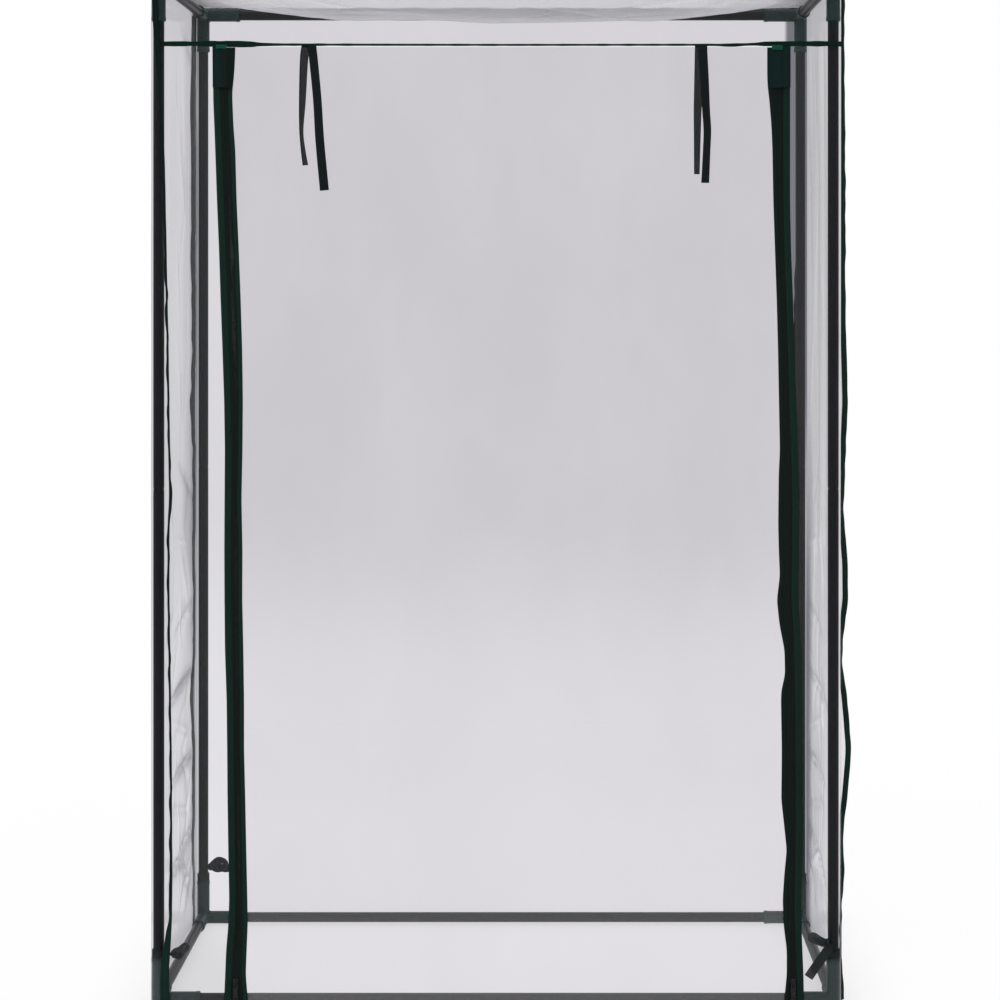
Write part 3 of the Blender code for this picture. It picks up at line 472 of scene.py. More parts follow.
def nylon_coil(n):
    """Black green nylon, faintly streaked."""
    cloud = n.noise(120, 3)
    colour = n.mix(cloud, (0.004, 0.007, 0.006), (0.012, 0.017, 0.015))
    n.principled(colour, n.ramp(cloud, 0.3, 0.7, 0.38, 0.55), n.bump(n.noise(1800, 2), 0.00004), 0.18)


def woven(n, dark, light, thread_and_highlight, pitch=0.0007, stitch_lines=(), dim=None):
    """Woven tape in the UV map's metres: crossing threads with painted highlights on their tops, a slow colour change,
    and rows of stitches.

    Each stitch line is the distance across the tape of one row. Dim is (axis, start, end, share): by that share
    the tape darkens as it passes from start to end, away from the middle along an axis.
    """
    across, along = n.split(n.where("UV"))[:2]
    warp, weft = (n.math("SINE", n.times(axis, 2 * math.pi / pitch)) for axis in (across, along))
    cloth = n.times(warp, weft)
    colour = n.mix(n.noise(22, 4), dark, light)
    # Painted highlight: the tops of the weave are mixed towards the lighter thread colour
    colour = n.mix(n.ramp(cloth, 0.1, 1.0, 0, 0.45), colour, thread_and_highlight)
    if dim:
        axis, start, end, most = dim
        place = n.split(n.where())[axis]
        colour = n.mix(n.ramp(n.size(place), start, end, 0, most), colour, (0.003, 0.008, 0.007))
    normal = n.bump(cloth, pitch * 0.18, 0.8)
    if stitch_lines:
        rows = 0.0
        for line in stitch_lines:
            rows = n.math("MAXIMUM", rows, n.ramp(n.size(n.minus(across, line)), 0.00022, 0.00045, 1, 0))
        beat = n.math("PINGPONG", along, STITCH_PITCH / 2)
        stitch = n.times(rows, n.ramp(beat, STITCH_PITCH * 0.10, STITCH_PITCH * 0.17))
        # The stitches take the same lighter colour: their thread colour and a painted highlight
        colour = n.mix(n.times(stitch, 0.75), colour, thread_and_highlight)
        normal = n.bump(stitch, 0.0003, 0.9, normal)
    n.principled(colour, 0.86, normal, 0.06)


def clear_film(n, low_tint, high_tint, haze, low_haze, crumple=0.25, foot=(1.035, 0.13, 0.28)):
    """Clear soft film: it passes less light high up and at a glancing angle, where its haze and its mirror grow.

    The mirror's share is the fourth power of how far the film turns away, the same from both its sides. Where it
    lies against a post it has next to no haze, because nothing is far enough behind it to blur. Seen edge on, a
    side is darkened with painted shade and a painted reflection of the back post where it wraps doubled round that
    post, and with painted shade on the flanks of its creases and along listed dark bands. A strip of the back film
    beside the right post is darker in its upper half. Foot is the share of its low tint that it has below one
    height, and the height where that share ends.
    """
    look = bpy.context.scene.greenhouse_cover
    x, y, z = n.split(n.where())
    mottle = n.plus(n.times(n.noise(3.2, 3, (1.3, 1.3, 0.8)), 0.6), n.times(n.noise(9, 4, (1, 1, 0.3), 0.6), 0.4))
    tint = n.mix(n.ramp(z, *foot[1:]), [foot[0] * value for value in low_tint], low_tint)
    tint = n.mix(n.ramp(z, 0.42, 0.72), tint, high_tint)
    tint = n.mix(n.ramp(mottle, 0.35, 0.65, 0, 0.16), tint, (0.93, 0.93, 0.94))
    turned = n.facing()
    normal = n.bump(n.noise(55, 3, (1, 1, 0.5)), 0.0006, n.ramp(turned, 0.55, 0.85, crumple, crumple * 0.3))
    facing = n.facing(Normal=normal)
    passed = n.mix(n.math("POWER", facing, look.glancing_power), tint, [look.glancing_light] * 3)
    # Painted shade on the side films' crease flanks and dark bands, stronger as the film turns away
    crease = n.add("Attribute", {"attribute_name": "crease"}).outputs["Fac"]
    crease_shade = n.times(crease, n.ramp(turned, 0.45, 0.84, 0.22, 1.0), 0.62)
    passed = n.mix(crease_shade, passed, (0.16, 0.17, 0.20))
    # Painted shade and a painted reflection of the back post, darkening a side where it wraps doubled round that post
    right = n.math("GREATER_THAN", x, 0.0)
    left_wrap_shade = n.times(n.ramp(z, 0.25, 1.20, 0.45, 0.96), n.minus(1.0, right))
    right_wrap_shade = n.times(n.ramp(z, 0.45, 0.95, 0.90, 0.10), right)
    wrap_shade = n.times(n.plus(left_wrap_shade, right_wrap_shade), n.ramp(y, HALF_DEPTH - 0.085, HALF_DEPTH - 0.012))
    wrap_shade = n.times(wrap_shade, n.ramp(n.size(x), HALF_WIDTH - 0.007, HALF_WIDTH + 0.002), n.ramp(turned, 0.1, 0.8, 0.6, 1.0))
    passed = n.mix(wrap_shade, passed, DARKENED_FILM)
    # A darker strip of the back film beside the right post, in its upper half
    right_post_strip = n.times(n.ramp(x, HALF_WIDTH - 0.027, HALF_WIDTH - 0.019), n.ramp(y, HALF_DEPTH - 0.004, HALF_DEPTH + 0.004))
    passed = n.mix(n.times(right_post_strip, n.ramp(z, 0.62, 0.90, 0, 0.85)), passed, DARKENED_FILM)
    through = n.shader("BsdfTransparent", {"Color": passed})
    milk = n.shader("BsdfDiffuse", {"Color": (0.85, 0.86, 0.88), "Normal": normal})
    beside = [n.ramp(n.size(axis), half - 0.024, half - 0.010) for axis, half in ((x, HALF_WIDTH), (y, HALF_DEPTH))]
    free = n.minus(1.0, n.times(*beside, n.ramp(z, 0.060, 0.075)))
    milky = n.plus(n.times(free, n.ramp(z, 0.03, 0.30, low_haze, haze)), look.milkiness)
    thin = n.math("MAXIMUM", n.minus(1.0, facing), 0.02)
    milky = n.math("MINIMUM", n.math("DIVIDE", milky, thin), 0.8)
    body = n.shader("MixShader", {0: milky, 1: through, 2: milk})
    shine = n.shader("BsdfAnisotropic", {"Color": (0.95, 0.96, 0.98), "Roughness": 0.11, "Normal": normal})
    mirror = n.math("MULTIPLY", n.plus(n.math("POWER", facing, 4), 0.004), look.gloss, clamp=True)
    n.output(n.shader("MixShader", {0: mirror, 1: body, 2: shine}))


EDGE_STITCHES = (0.0022, 0.0150)
FINISHES = {
    "powder_coat": (powder_coat,),
    "grained_plastic": (grained_plastic,),
    "lacquered_metal": (lacquered_metal,),
    "nylon_coil": (nylon_coil,),
    "wall_film": (clear_film, (0.855, 0.845, 0.865), (0.805, 0.795, 0.813), 0.010, 0.03),
    "strip_film": (
        clear_film, (0.885, 0.880, 0.895), (0.850, 0.843, 0.858), 0.022, 0.03, 0.25, (0.86, 0.06, 0.16),
    ),
    "roof_film": (clear_film, (0.895, 0.890, 0.905), (0.840, 0.832, 0.850), 0.085, 0.085),
    "door_film": (
        clear_film, (0.822, 0.803, 0.828), (0.720, 0.707, 0.726), 0.022, 0.11, 0.15, (0.985, 0.08, 0.16),
    ),
    "green_binding": (
        woven, (0.0055, 0.0145, 0.0110), (0.0085, 0.0215, 0.0165), (0.013, 0.044, 0.033), 0.0007, EDGE_STITCHES,
    ),
    # Painted shade: this tape is painted darker from about 0.17 m up than at its foot
    "shaded_binding": (
        woven, (0.0055, 0.0165, 0.0125), (0.0085, 0.0245, 0.0185), (0.013, 0.046, 0.034), 0.0007, EDGE_STITCHES,
        (2, 0.10, 0.17, 0.78),
    ),
    "header_binding": (
        woven, (0.0036, 0.0200, 0.0130), (0.0050, 0.0280, 0.0185), (0.008, 0.044, 0.030), 0.0007, (),
        (0, 0.325, 0.345, 0.60),
    ),
    "bright_thread": (woven, (0.0065, 0.0520, 0.0320), (0.0100, 0.0760, 0.0480), (0.02, 0.12, 0.08), 0.0009),
    "zip_weave": (
        woven, (0.0050, 0.0094, 0.0084), (0.0080, 0.0136, 0.0122), (0.014, 0.023, 0.021), 0.0008, (0.0035,),
    ),
    "patch_cloth": (woven, (0.0048, 0.0135, 0.0122), (0.0066, 0.0180, 0.0165), (0.010, 0.028, 0.025), 0.0008),
    "webbing": (
        woven, (0.0060, 0.0084, 0.0088), (0.0094, 0.0126, 0.0132), (0.018, 0.022, 0.023), 0.0009, (0.0022, 0.0108),
    ),
    "knotted_tape": (woven, (0.012, 0.015, 0.016), (0.026, 0.030, 0.032), (0.045, 0.050, 0.052), 0.0009),
}


def new_material(name):
    made = bpy.data.materials.new(name)
    made.use_nodes = True
    return made, Nodes(made.node_tree)


def finish(name):
    """A finish is made once and then shared."""
    known = bpy.data.materials.get(name)
    if known:
        return known
    made, nodes = new_material(name)
    maker, *settings = FINISHES[name]
    maker(nodes, *settings)
    return made


def attach(piece, node):
    """A piece rides on the frame and stands for a node, which is hidden."""
    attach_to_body(piece, "frame")
    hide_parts(node)


# Settings
def metres(name, description, default):
    return bpy.props.FloatProperty(
        name=name, description=description, default=default, subtype="DISTANCE", unit="LENGTH"
    )


def factor(name, description, default):
    return bpy.props.FloatProperty(
        name=name, description=description, default=default, min=0, max=1, subtype="FACTOR"
    )


def amount(name, description, default):
    return bpy.props.FloatProperty(name=name, description=description, default=default)


class GreenhouseFrame(bpy.types.PropertyGroup):
    tube_sides: bpy.props.IntProperty(
        name="Tube sides", description="Faces round each tube and each connector arm", default=40, min=12, max=96
    )
    lip_height: metres("Socket lip", "How far the bead round a socket's mouth stands out", 0.0005)
    gusset_reach: metres("Gusset reach", "How far the webs between a connector's arms run along them", 0.026)


class GreenhouseCover(bpy.types.PropertyGroup):
    film_step: metres("Film step", "Distance between the points of the film's grids", 0.0055)
    crease_depth: metres("Crease depth", "Height of the sharp folds in the side films", 0.0010)
    seam_foot: metres("Seam foot", "Width over which the film rises to a bound seam", 0.009)
    glancing_light: factor("Light through at a glance", "Share of light that the film passes edge on", 0.50)
    glancing_power: amount("Glancing power", "How late the film darkens as it turns away", 9.0)
    milkiness: factor("Milkiness", "Share of light that the film scatters even where it touches a post", 0.004)
    gloss: factor("Gloss", "Strength of the film's mirror reflection", 0.25)


class GreenhouseTapes(bpy.types.PropertyGroup):
    binding_width: metres("Binding width", "Width of the folded tape on each seam", 0.0085)
    binding_thickness: metres("Binding thickness", "Thickness of the folded tape with the film inside it", 0.0030)
    strap_width: metres("Strap width", "Width of the tapes that tie up the rolled door", 0.013)
    tooth_pitch: metres("Tooth pitch", "Distance between the coil's teeth on one side of a zip", 0.0024)


class GreenhouseStage(bpy.types.PropertyGroup):
    camera_distance: metres("Camera distance", "From the plane of the front posts to the camera", 3.70)
    camera_height: metres("Camera height", "Height of the level camera", 1.04)
    camera_aside: metres("Camera aside", "How far the camera stands to the right of the middle", 0.075)
    lens: amount("Lens", "Focal length in millimetres", 91.66)
    key_power: amount("Key light", "Power of the large front lamp", 60)
    fill_power: amount("Fill light", "Power of the side lamps", 28)
    ambient: amount("Ambient", "Strength of the even light", 0.62)


# Frame pieces
def lathe(form, profile, start, direction, sides, closed=True):
    """Turns a profile of (along, radius) pairs about an axis: each point is the axis plus the radius round it."""
    axis = np.array(direction, float)
    side = np.array([axis[1], axis[2], axis[0]])
    up = np.cross(axis, side)
    turn = np.linspace(0, 2 * np.pi, sides, endpoint=False)
    along, radius = np.array(profile, float).T
    ring = np.cos(turn)[:, None] * side + np.sin(turn)[:, None] * up
    points = np.array(start) + along[:, None, None] * axis + radius[:, None, None] * ring[None]
    return form.add(points, wrap_rows=closed, wrap_columns=True, flip=True)


def tube_profile(length, rim=0.0006):
    """Outer wall with rounded rims, and the bore, as one closed outline."""
    outer, inner = TUBE_RADIUS, TUBE_RADIUS - TUBE_WALL
    return [
        (0, outer - rim / 2), (rim / 2, outer - rim / 8), (rim, outer), (length / 2, outer), (length - rim, outer),
        (length - rim / 2, outer - rim / 8), (length, outer - rim / 2), (length, inner), (length / 2, inner),
        (0, inner),
    ]


def swaged_profile(length):
    """A tube whose lower end is drawn in to enter the one below, with a rounded shoulder."""
    outer, inner = TUBE_RADIUS, TUBE_RADIUS - TUBE_WALL
    neck = inner - SOCKET_PLAY
    bore = neck - TUBE_WALL
    return [
        (-0.040, neck - 0.0004), (-0.0394, neck), (-0.001, neck), (0.0, neck + 0.0002), (0.0005, outer - 0.0009),
        (0.0014, outer - 0.0003), (0.003, outer), (length / 2, outer), (length, outer), (length, inner),
        (length / 2, inner), (0.008, inner), (0.004, bore), (-0.040, bore),
    ]


def place_tube(node, profile, start, direction):
    sides = bpy.context.scene.greenhouse_frame.tube_sides
    tube = lathe(Form(), profile, start, direction, sides).build(f"coated_{node}", finish("powder_coat"))
    attach(tube, node)


class GREENHOUSE_OT_tubes(bpy.types.Operator):
    """Posts in two lengths joined at mid height, and the rails between the corners"""

    bl_idname = "greenhouse.tubes"
    bl_label = "Tubes"

    def execute(self, context):
        gap = SOCKET_FLOOR + SOCKET_PLAY
        for name, (across, along) in CORNERS.items():
            x, y = across * HALF_WIDTH, along * HALF_DEPTH
            foot = FRAME_FOOT + gap
            place_tube(f"post_lower_{name}", tube_profile(POST_JOINT - foot), (x, y, foot), (0, 0, 1))
            start = POST_JOINT + SOCKET_PLAY
            place_tube(f"post_upper_{name}", swaged_profile(FRAME_TOP - gap - start), (x, y, start), (0, 0, 1))
        for level, height in (("bottom", FRAME_FOOT), ("top", FRAME_TOP)):
            for side, y in (("front", -HALF_DEPTH), ("back", HALF_DEPTH)):
                start = (gap - HALF_WIDTH, y, height)
                place_tube(f"rail_{level}_{side}", tube_profile(2 * (HALF_WIDTH - gap)), start, (1, 0, 0))
            for side, x in (("left", -HALF_WIDTH), ("right", HALF_WIDTH)):
                start = (x, gap - HALF_DEPTH, height)
                place_tube(f"side_rail_{level}_{side}", tube_profile(2 * (HALF_DEPTH - gap)), start, (0, 1, 0))
        return {"FINISHED"}


def gusset(form, centre, first, second, reach, thickness):
    """A web between two arms: a concave quarter curve from arm to arm, swept over a rounded edge from face to face."""
    u = np.linspace(0, 1, 9)[None, :, None]
    edge = np.linspace(-np.pi / 2, np.pi / 2, 9)
    depth = np.concatenate([[-1], np.sin(edge), [1]])[:, None, None] * thickness / 2
    inner = np.concatenate([[0.2], 0.93 + 0.07 * np.cos(edge), [0.2]])[:, None, None]
    a, b = np.array(first, float), np.array(second, float)
    bow = reach * (1 - 0.42 * np.sin(np.pi * u))
    curve = (a * np.cos(u * np.pi / 2) + b * np.sin(u * np.pi / 2)) * bow
    points = np.array(centre) + curve * inner + np.cross(a, b) * depth
    form.add(points)


class GREENHOUSE_OT_connectors(bpy.types.Operator):
    """Eight three-way corner sockets with beaded mouths, webs between the arms, and feet on the lower four"""

    bl_idname = "greenhouse.connectors"
    bl_label = "Corner connectors"

    def execute(self, context):
        look = context.scene.greenhouse_frame
        radius, reach, lip = CONNECTOR_RADIUS, CONNECTOR_REACH, look.lip_height
        arm = [
            (0, radius), (reach - 0.0065, radius), (reach - 0.0058, radius + lip * 0.6), (reach - 0.005, radius + lip),
            (reach - 0.0012, radius + lip), (reach - 0.0003, radius + lip * 0.5), (reach, radius - 0.0002),
            (reach, SOCKET_RADIUS + 0.0002), (reach - 0.0004, SOCKET_RADIUS), (SOCKET_FLOOR, SOCKET_RADIUS),
            (SOCKET_FLOOR, CLOSED),
        ]
        ball = [(-radius * math.cos(t), max(radius * math.sin(t), CLOSED)) for t in np.linspace(0, math.pi, 15)]
        foot = [
            (0, 0.0075), (0.0095, 0.0075), (0.0102, 0.0073), (FRAME_FOOT, 0.0068), (FRAME_FOOT, 0.0025),
            (FRAME_FOOT - 0.0008, 0.0020), (FRAME_FOOT - 0.0008, CLOSED),
        ]
        for name, (across, along) in CORNERS.items():
            for level, height, rise in (("bottom", FRAME_FOOT, 1), ("top", FRAME_TOP, -1)):
                centre = (across * HALF_WIDTH, along * HALF_DEPTH, height)
                arms = ((-across, 0, 0), (0, -along, 0), (0, 0, rise))
                form = Form()
                for direction in arms:
                    lathe(form, arm, centre, direction, look.tube_sides, closed=False)
                lathe(form, ball, centre, (0, 0, 1), look.tube_sides, closed=False)
                if rise > 0:
                    lathe(form, foot, centre, (0, 0, -1), look.tube_sides, closed=False)
                for i in range(3):
                    gusset(form, centre, arms[i], arms[(i + 1) % 3], look.gusset_reach, WEB_THICKNESS)
                made = form.build(f"moulded_connector_{level}_{name}", finish("grained_plastic"))
                attach(made, f"connector_{level}_{name}")
        return {"FINISHED"}


# Film
def film_columns(start, end, step, foot):
    """Shares of the way across a panel: even, but finer over the feet of its seams."""
    width = end - start
    fine = np.linspace(0, 1.3 * foot, 7)[:-1]
    middle = np.linspace(1.3 * foot, width - 1.3 * foot, max(int(width / step), 4))
    return np.concatenate([fine, middle, width - fine[::-1]]) / width


def seam_height(corner, height):
    """How far the film itself stands out at a seam, which is what the tape on it doesn't reach."""
    reach = table(height, SEAM_REACHES[corner % 4])
    fade = np.clip((FRAME_TOP - height) / 0.08, 0, 1)
    return np.maximum(reach - 0.0088, 0.0003) * fade


def keep_clear(place, height):
    """0 beside the posts and rails, rising to 1 over the open film between them."""
    left = np.mod(place + HALF_WIDTH + BEND / 2, GIRTH_STOPS[-1])
    corners = np.append(GIRTH_STOPS[[0, 2, 4, 6]], GIRTH_STOPS[-1])
    nearest = np.min(np.abs(left[..., None] - corners), -1)
    return ease((nearest - 0.018) / 0.04) * ease((height - 0.026) / 0.07) * ease((FRAME_TOP - 0.022 - height) / 0.07)


def film_panel(name, edges, heights, relief, corners=(None, None), finish_name="wall_film"):
    """A wall film between two edges: its places are spread between them, and it rises by its relief.

    The edges are functions of the height; a corner's number there makes the film climb to its seam. The side
    panels also carry painted crease shade, from how steeply their creases climb and from listed dark bands, which
    the film's finish reads.
    """
    look = bpy.context.scene.greenhouse_cover
    rows = np.asarray(heights)[:, None]
    middle = rows[len(rows) // 2, 0]
    share = film_columns(float(edges[0](middle)), float(edges[1](middle)), look.film_step, look.seam_foot)[None]
    first, last = edges[0](rows), edges[1](rows)
    place = first + (last - first) * share
    out = relief(place, rows, share) * keep_clear(place, rows)
    for corner, distance in ((corners[0], place - first), (corners[1], last - place)):
        if corner is not None:
            foot = np.clip(1 - distance / look.seam_foot, 0, 1)
            out = out + seam_height(corner, rows) * foot**1.6
    panel = Form().add(cover_point(place, rows, out)).build(name, finish(finish_name), 180)
    if corners[0] is not None and corners[1] is not None and corners[0] % 2:
        slope = np.abs(np.gradient(relief(place, rows, share), rows[:, 0], axis=0)) * keep_clear(place, rows)
        bands = folds(LEFT_SHADE_BANDS if corners[0] == 3 else RIGHT_SHADE_BANDS, cover_point(place, rows)[..., 1], rows)
        # Painted shade: darker where the side film's creases climb steeply and along the listed dark bands
        shade = np.clip(ease((slope - 0.05) / 0.40) + bands, 0, 1)
        layer = panel.data.attributes.new("crease", "FLOAT", "POINT")
        layer.data.foreach_set("value", shade.astype(np.float32).ravel())
    return panel


def film_rows(low, high):
    step = bpy.context.scene.greenhouse_cover.film_step
    return np.linspace(low, high, int((high - low) / step) + 1)


def packing_folds(place, height, seed):
    """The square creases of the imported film: level folds at one pitch and upright ones at another."""
    level = (height - CREASE_FOOT + CREASE_PITCH / 2) % CREASE_PITCH - CREASE_PITCH / 2
    upright = (place + 0.04) % 0.245 - 0.1225
    ridge = 0.0011 * np.exp(-np.abs(level) / 0.005) * (0.6 + 0.4 * ripple(seed, place, pitch=0.3))
    return ridge - 0.0004 * np.exp(-np.abs(upright) / 0.006) * (0.6 + 0.4 * ripple(seed + 1, height, pitch=0.4))


def side_relief(seed, back_at_start):
    """Side films: a belly in the upper half, upright drapes, packing folds, and crossed crumples low at the back."""
    depth = bpy.context.scene.greenhouse_cover.crease_depth

    def relief(place, height, share):
        back = share if not back_at_start else 1 - share
        climb = height / FRAME_TOP
        belly = 0.005 * arch(share) * arch(climb) * (0.35 + 0.65 * climb)
        drapes = 0.00038 * ripple(seed, place, 0.12 * height, pitch=0.11) * (0.4 + climb)
        x = back * 0.48
        low = scattered(seed + 2, 30, (0.10, 0.06), (0.46, 0.75), 0.16, 0.009, depth, (0, 180))
        high = scattered(seed + 3, 14, (0.05, 0.75), (0.45, 1.42), 0.22, 0.010, depth * 0.6, (60, 120))
        crossed = [
            (0.33, 0.412, 5, 0.32, 0.009, depth * 4.6), (0.34, 0.283, 3, 0.30, 0.009, depth * 4.6),
            (0.33, 0.152, 10, 0.32, 0.009, depth * 4.6), (0.33, 0.350, -14, 0.24, 0.008, -depth * 3),
            (0.34, 0.220, -12, 0.26, 0.008, depth * 3), (0.38, 0.100, 28, 0.18, 0.007, depth * 3),
            (0.36, 0.120, -30, 0.20, 0.007, -depth * 3), (0.38, 0.520, 10, 0.26, 0.009, depth * 3),
            (0.34, 0.640, -8, 0.26, 0.009, -depth * 2.5), (0.40, 0.200, 62, 0.16, 0.009, depth * 1.8),
        ]
        return belly + drapes + packing_folds(place, height, seed + 5) + folds(low + high + crossed, x, height)

    return relief


def back_relief(place, height, share):
    """The back film: nearly flat, with the packing folds and a few long soft creases."""
    lines = scattered(31, 22, (0.1, 0.1), (0.9, 1.4), 0.35, 0.009, 0.0011)
    soft = 0.0011 * ripple(32, place, height, pitch=0.35)
    return 0.004 * arch(share) * arch(height / FRAME_TOP) + soft + folds(lines, share, height)


def strip_relief(seed):
    """The narrow strips beside the zips: drawn in a little, with folds that run from the bound seam to the zip."""

    def relief(place, height, share):
        lines = scattered(seed, 26, (0.01, 0.05), (0.07, 1.36), 0.09, 0.005, 0.0012, (55, 125))
        return -0.0012 * arch(share) * arch(2 * height / HEADER_HEIGHT % 1) + folds(lines, share * 0.08, height)

    return relief


def door_relief(place, height, share):
    """The door: plain above, drawn in a little below, with soft ripples and a few faint long creases."""
    lines = scattered(41, 26, (0.04, 0.08), (0.76, 1.30), 0.30, 0.008, 0.0009, (20, 160))
    soft = 0.0010 * ripple(42, place, height, pitch=0.30) + 0.0005 * ripple(43, place, height, pitch=0.10)
    hollow = -0.004 * arch(share) * arch(height / 1.1885)
    fade = ease((1.385 - height) / 0.12)
    return hollow + (soft + folds(lines, share * 0.79, height)) * fade


def plain_relief(place, height, share):
    return 0.0006 * ripple(51, place, height, pitch=0.12)


def seam_side(corner, direction):
    return lambda height: corner_seam(corner, height) + direction * SEAM_HALF_GAP


def zip_side(side, direction):
    return lambda height: zip_place(side, height) + direction * FILM_FROM_ZIP


def roof_point(across, along):
    """The roof film over the rails: a sag that falls off towards the rails, and a quarter bend at the rim."""
    x, y = np.clip(across, -HALF_WIDTH, HALF_WIDTH), np.clip(along, -HALF_DEPTH, HALF_DEPTH)
    over_x, over_y = np.abs(across - x), np.abs(along - y)
    far = np.maximum(over_x, over_y)
    tilt = far / COVER_OFFSET
    share_x = np.minimum(np.abs(across) / (HALF_WIDTH - CONNECTOR_RADIUS), 1)
    share_y = np.minimum(np.abs(along) / (HALF_DEPTH - CONNECTOR_RADIUS), 1)
    sag = ROOF_SAG * (1 - share_x**4) * (1 - share_y**2)
    safe = np.where(far > 0, far, 1)
    turn = np.where(over_x >= over_y, np.pi / 4 * over_y / safe, np.pi / 2 - np.pi / 4 * over_x / safe)
    out = np.sin(tilt) * COVER_OFFSET
    rise = np.where(tilt > 0, np.cos(tilt), 1) * COVER_OFFSET - np.where(tilt > 0, 0, sag)
    px = x + np.copysign(np.cos(turn), across) * out * (far > 0)
    py = y + np.copysign(np.sin(turn), along) * out * (far > 0)
    return np.stack([px, py, FRAME_TOP + rise], -1)


def roof_relief(across, along):
    """Creases that run from the corners towards the middle of the sag, and the packing folds."""
    inside = ease((HALF_WIDTH - 0.02 - np.abs(across)) / 0.07) * ease((HALF_DEPTH - 0.02 - np.abs(along)) / 0.06)
    lines = scattered(61, 24, (-0.4, -0.18), (0.4, 0.18), 0.25, 0.007, 0.0016)
    for sx in (-1, 1):
        for sy in (-1, 1):
            for turn, size in ((12, 0.30), (27, 0.34), (44, 0.24), (62, 0.18)):
                c, s = sx * math.cos(math.radians(turn)), sy * math.sin(math.radians(turn))
                angle = math.degrees(math.atan2(-s, -c))
                x = sx * (HALF_WIDTH - 0.03) - c * size / 2
                y = sy * (HALF_DEPTH - 0.03) - s * size / 2
                lines.append((x, y, angle, size, 0.008, 0.003))
    return inside * (folds(lines, across, along) + 0.0016 * ripple(62, across, along, pitch=0.22))


class GREENHOUSE_OT_film(bpy.types.Operator):
    """The cover's fixed film: roof, back, sides, header and the strips beside the zips"""

    bl_idname = "greenhouse.film"
    bl_label = "Cover film"

    def execute(self, context):
        look = context.scene.greenhouse_cover
        over = np.linspace(0, ROOF_SEAM - SEAM_HALF_GAP, 5)[1:]
        walls = np.concatenate([film_rows(HEM_HEIGHT, FRAME_TOP), FRAME_TOP + over])
        top = np.concatenate([film_rows(HEADER_HIGH - 0.001, FRAME_TOP), FRAME_TOP + over])
        low = film_rows(HEM_HEIGHT, HEADER_LOW + 0.001)
        panels = (
            ("right", (seam_side(1, 1), seam_side(2, -1)), walls, side_relief(11, False), (1, 2), (0.49, 1.50)),
            ("back", (seam_side(2, 1), seam_side(3, -1)), walls, back_relief, (2, 3), (1.00, 1.50)),
            ("left", (seam_side(3, 1), seam_side(4, -1)), walls, side_relief(21, True), (3, 4), (0.49, 1.50)),
            ("front_left", (seam_side(0, 1), zip_side(-1, -1)), low, strip_relief(71), (0, None), (0.080, 1.39)),
            ("front_right", (zip_side(1, 1), seam_side(1, -1)), low, strip_relief(72), (None, 1), (0.089, 1.39)),
            ("header", (seam_side(0, 1), seam_side(1, -1)), top, plain_relief, (0, 1), (1.00, 0.102)),
        )
        for name, edges, heights, relief, corners, flat in panels:
            kind = "strip_film" if name.startswith("front") else "wall_film"
            made = film_panel(f"film_{name}", edges, heights, relief, corners, kind)
            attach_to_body(made, "frame")
            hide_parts(f"panel_{name}")
        step = look.film_step
        flat_x = np.linspace(-HALF_WIDTH, HALF_WIDTH, int(2 * HALF_WIDTH / step))
        flat_y = np.linspace(-HALF_DEPTH, HALF_DEPTH, int(2 * HALF_DEPTH / step))
        x = np.concatenate([-HALF_WIDTH - over[::-1], flat_x, HALF_WIDTH + over])
        y = np.concatenate([-HALF_DEPTH - over[::-1], flat_y, HALF_DEPTH + over])
        across, along = np.meshgrid(x, y)
        points = roof_point(across, along)
        points[..., 2] += roof_relief(across, along)
        roof = Form().add(points).build("film_roof", finish("roof_film"), 180)
        attach(roof, "panel_roof")
        return {"FINISHED"}


def across_hinge(piece):
    """Bakes the piece's place into its mesh."""
    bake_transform(piece)


class GREENHOUSE_OT_door(bpy.types.Operator):
    """The door's film, from the hem up to just under the header"""

    bl_idname = "greenhouse.door"
    bl_label = "Door film"

    def execute(self, context):
        heights = film_rows(HEM_HEIGHT, HINGE_HEIGHT + 0.0004)
        edges = (zip_side(-1, 1), zip_side(1, -1))
        door = film_panel("film_door", edges, heights, door_relief, finish_name="door_film")
        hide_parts("door_panel")
        across_hinge(door)
        return {"FINISHED"}


# Bindings
def folded_tape(points, outward, aside, width, thickness):
    """A tape folded over a seam: a hairpin profile carried along the seam, open inwards and rounded outside."""
    turn = np.linspace(-np.pi / 2, np.pi / 2, 7)
    half = thickness / 2
    s = np.concatenate([[-half * 0.8], [-half], half * np.sin(turn), [half], [half * 0.8]])
    along = np.concatenate([[0.0], [0.0006], np.cos(turn) * half + width[..., None].mean() - half, [0.0006], [0.0]])
    reach = along[None] * (width / width.mean())[:, None]
    return points[:, None] + outward[:, None] * reach[..., None] + aside[:, None] * s[None, :, None]


def turned_out(angle_out, angle_aside, lean):
    """The two directions of a tape that leans over."""
    c, s = np.cos(lean)[:, None], np.sin(lean)[:, None]
    return angle_out * c + angle_aside * s, angle_aside * c - angle_out * s


def directions(place):
    """The level outward direction at places round the cover, and the one along it."""
    _, _, angle = walk_round(place)
    c, s = np.cos(angle), np.sin(angle)
    return np.stack([c, s, 0 * angle], -1), np.stack([-s, c, 0 * angle], -1)


